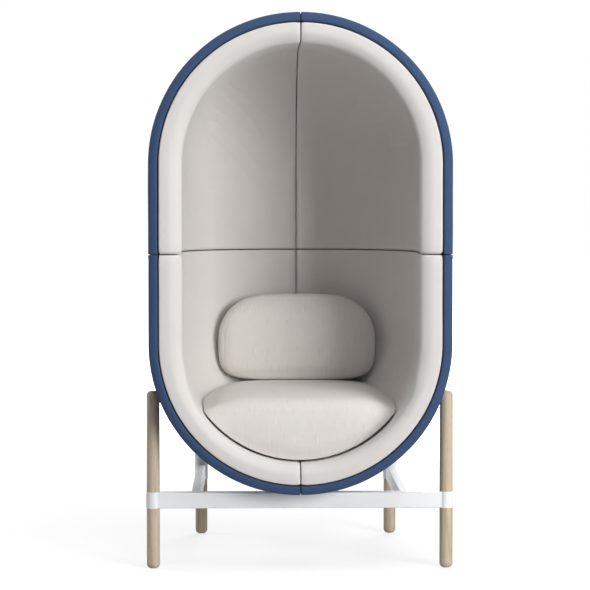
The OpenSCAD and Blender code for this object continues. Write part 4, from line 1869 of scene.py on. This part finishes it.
@dataclass
class WoodParts:
    """Round ash legs, beech dowels and the plywood shell."""

    legs: tuple[str, ...] = ("front_leg", "rear_leg")
    dowels: str = "seam_dowels"
    shell: str = "shell_core"

    def build(self) -> None:
        """Dresses the wooden nodes."""
        dress_nodes(ASH, *both_sides(*self.legs))
        dress_nodes(BEECH, self.dowels)
        dress_nodes(BIRCH, *(quarter_name(self.shell, side, level) for side, level in QUARTERS))


@dataclass
class Fasteners:
    """Bolts, inserts and screws, and the rubber between pod and stand."""

    bolts: tuple[str, ...] = ("saddle_bolts", "side_bolts", "rear_bolts")
    inserts: str = "threaded_inserts"
    screws: str = "leg_grub_screws"
    saddle: str = "front_saddle"
    spacer: str = "side_spacer"

    def build(self) -> None:
        """Dresses the metal and rubber nodes."""
        dress_nodes(ZINC, self.inserts, *self.bolts, self.screws)
        dress_nodes(RUBBER, self.saddle, *both_sides(self.spacer))


# Studio


@dataclass(frozen=True)
class Lamp:
    """A square lamp that faces the pod."""

    name: str
    spot: Triple
    size: float
    watts: float

    def build(self, aim: Triple) -> None:
        """Makes the lamp.

        Args:
            aim: What it faces.
        """
        light = bpy.data.lights.new(self.name, "AREA")
        light.size = self.size
        light.energy = self.watts
        made = add_object(self.name, light)
        made.location = self.spot
        made.rotation_euler = (Vector(aim) - made.location).to_track_quat("-Z", "Y").to_euler()


@dataclass
class Studio:
    """Camera, lamps, white surroundings and floor."""

    eye: Triple = (-0.126, -6.064, 1.011)
    tilt_degrees: float = 87.419
    turn_degrees: float = -1.112
    lens: float = 129.71
    sensor: float = 36.0
    far: float = 200.0
    lamps: tuple[Lamp, ...] = (
        Lamp("key", (3.32, -4.54, 1.65), 2.4, 277.0),
        Lamp("top", (0.45, -1.8, 4.6), 3.0, 125.0),
        Lamp("back", (1.2, 4.4, 3.2), 3.0, 200.0),
        Lamp("left", (-4.4, 1.4, 2.4), 2.4, 95.0),
    )
    aim: Triple = (0.0, -0.2, 0.85)
    sky: Triple = (0.96, 0.98, 1.0)
    white: Triple = (1.0, 1.0, 1.0)
    ambient: float = 0.015
    floor_size: float = 60.0
    floor_glow: float = 0.36
    glow_strength: float = 2.03
    paper: tuple[Triple, Triple] = ((0.44, 0.44, 0.44), (0.46, 0.46, 0.46))
    paper_scale: float = 3.0
    fade: Pair = (1.2, 4.0)

    def build(self) -> None:
        """Makes the whole studio."""
        self._camera()
        for lamp in self.lamps:
            lamp.build(self.aim)
        self._world()
        self._floor()
        bpy.context.scene.view_settings.view_transform = "Standard"

    def _camera(self) -> None:
        """The camera at the photograph's place and angle."""
        data = bpy.data.cameras.new("camera")
        data.lens = self.lens
        data.sensor_width = self.sensor
        data.clip_end = self.far
        made = add_object("camera", data)
        made.location = self.eye
        made.rotation_euler = (math.radians(self.tilt_degrees), 0.0, math.radians(self.turn_degrees))
        bpy.context.scene.camera = made

    @staticmethod
    def _seen(kit: ShaderKit) -> Num:
        """Finds where the camera, a reflection or a look through glass meets the surface.


        Returns:
            One where it is so, and zero elsewhere.
        """
        path = kit.add("ShaderNodeLightPath").outputs
        rays = ("Is Camera Ray", "Is Glossy Ray", "Is Transmission Ray")
        straight, mirrored, through = (Num(kit, path[ray]) for ray in rays)
        return straight.most(mirrored).most(through)

    @staticmethod
    def _shine(kit: ShaderKit, kind: str, colour: object,
               strength: float | None = None) -> bpy.types.NodeSocket:
        """Adds a plain shader of one colour, with a strength if it gives light."""
        inputs = {"Color": opaque(colour)} | ({} if strength is None else {"Strength": strength})
        return kit.add(kind, None, inputs).outputs[0]

    def _world(self) -> None:
        """White where it is seen, and a plain pale light on the object."""
        world = bpy.data.worlds.new("studio")
        kit = shader_kit(world)
        light = self._shine(kit, "ShaderNodeBackground", self.sky, self.ambient)
        white = self._shine(kit, "ShaderNodeBackground", self.white, 1.0)
        both = kit.add("ShaderNodeMixShader", None, {0: self._seen(kit), 1: light, 2: white})
        kit.add("ShaderNodeOutputWorld", None, {"Surface": both.outputs[0]})
        bpy.context.scene.world = world

    def _floor(self) -> None:
        """A pale floor that keeps the object's shadow and fades into the white."""
        half = self.floor_size / 2
        mesh = bpy.data.meshes.new("floor")
        corners = [(-half, -half, 0), (half, -half, 0), (half, half, 0), (-half, half, 0)]
        mesh.from_pydata(corners, [], [(0, 1, 2, 3)])
        material = bpy.data.materials.new("pale_floor")
        kit = shader_kit(material)
        paper = kit.mix(kit.noise(kit.place(), self.paper_scale), *self.paper)
        plain = self._shine(kit, "ShaderNodeBsdfDiffuse", paper)
        glow = self._shine(kit, "ShaderNodeEmission", self.white, self.glow_strength)
        fade = kit.reach(kit.place()).band(*self.fade)
        share = self._seen(kit) * (fade * (1.0 - self.floor_glow) + self.floor_glow)
        both = kit.add("ShaderNodeMixShader", None, {0: share, 1: plain, 2: glow})
        kit.add("ShaderNodeOutputMaterial", None, {"Surface": both.outputs[0]})
        mesh.materials.append(material)
        add_object("floor", mesh)


def main() -> None:
    """Builds every piece in order and reports it."""
    logging.basicConfig(level=logging.INFO, format="%(name)s %(message)s")
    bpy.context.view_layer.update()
    seat = SeatCushion()
    Studio().build()
    OuterCovers().build()
    InnerPads().build()
    seat.build()
    BackCushion().build(seat)
    WoodParts().build()
    SteelStand().build()
    Fasteners().build()


if __name__ == "__main__":
    main()
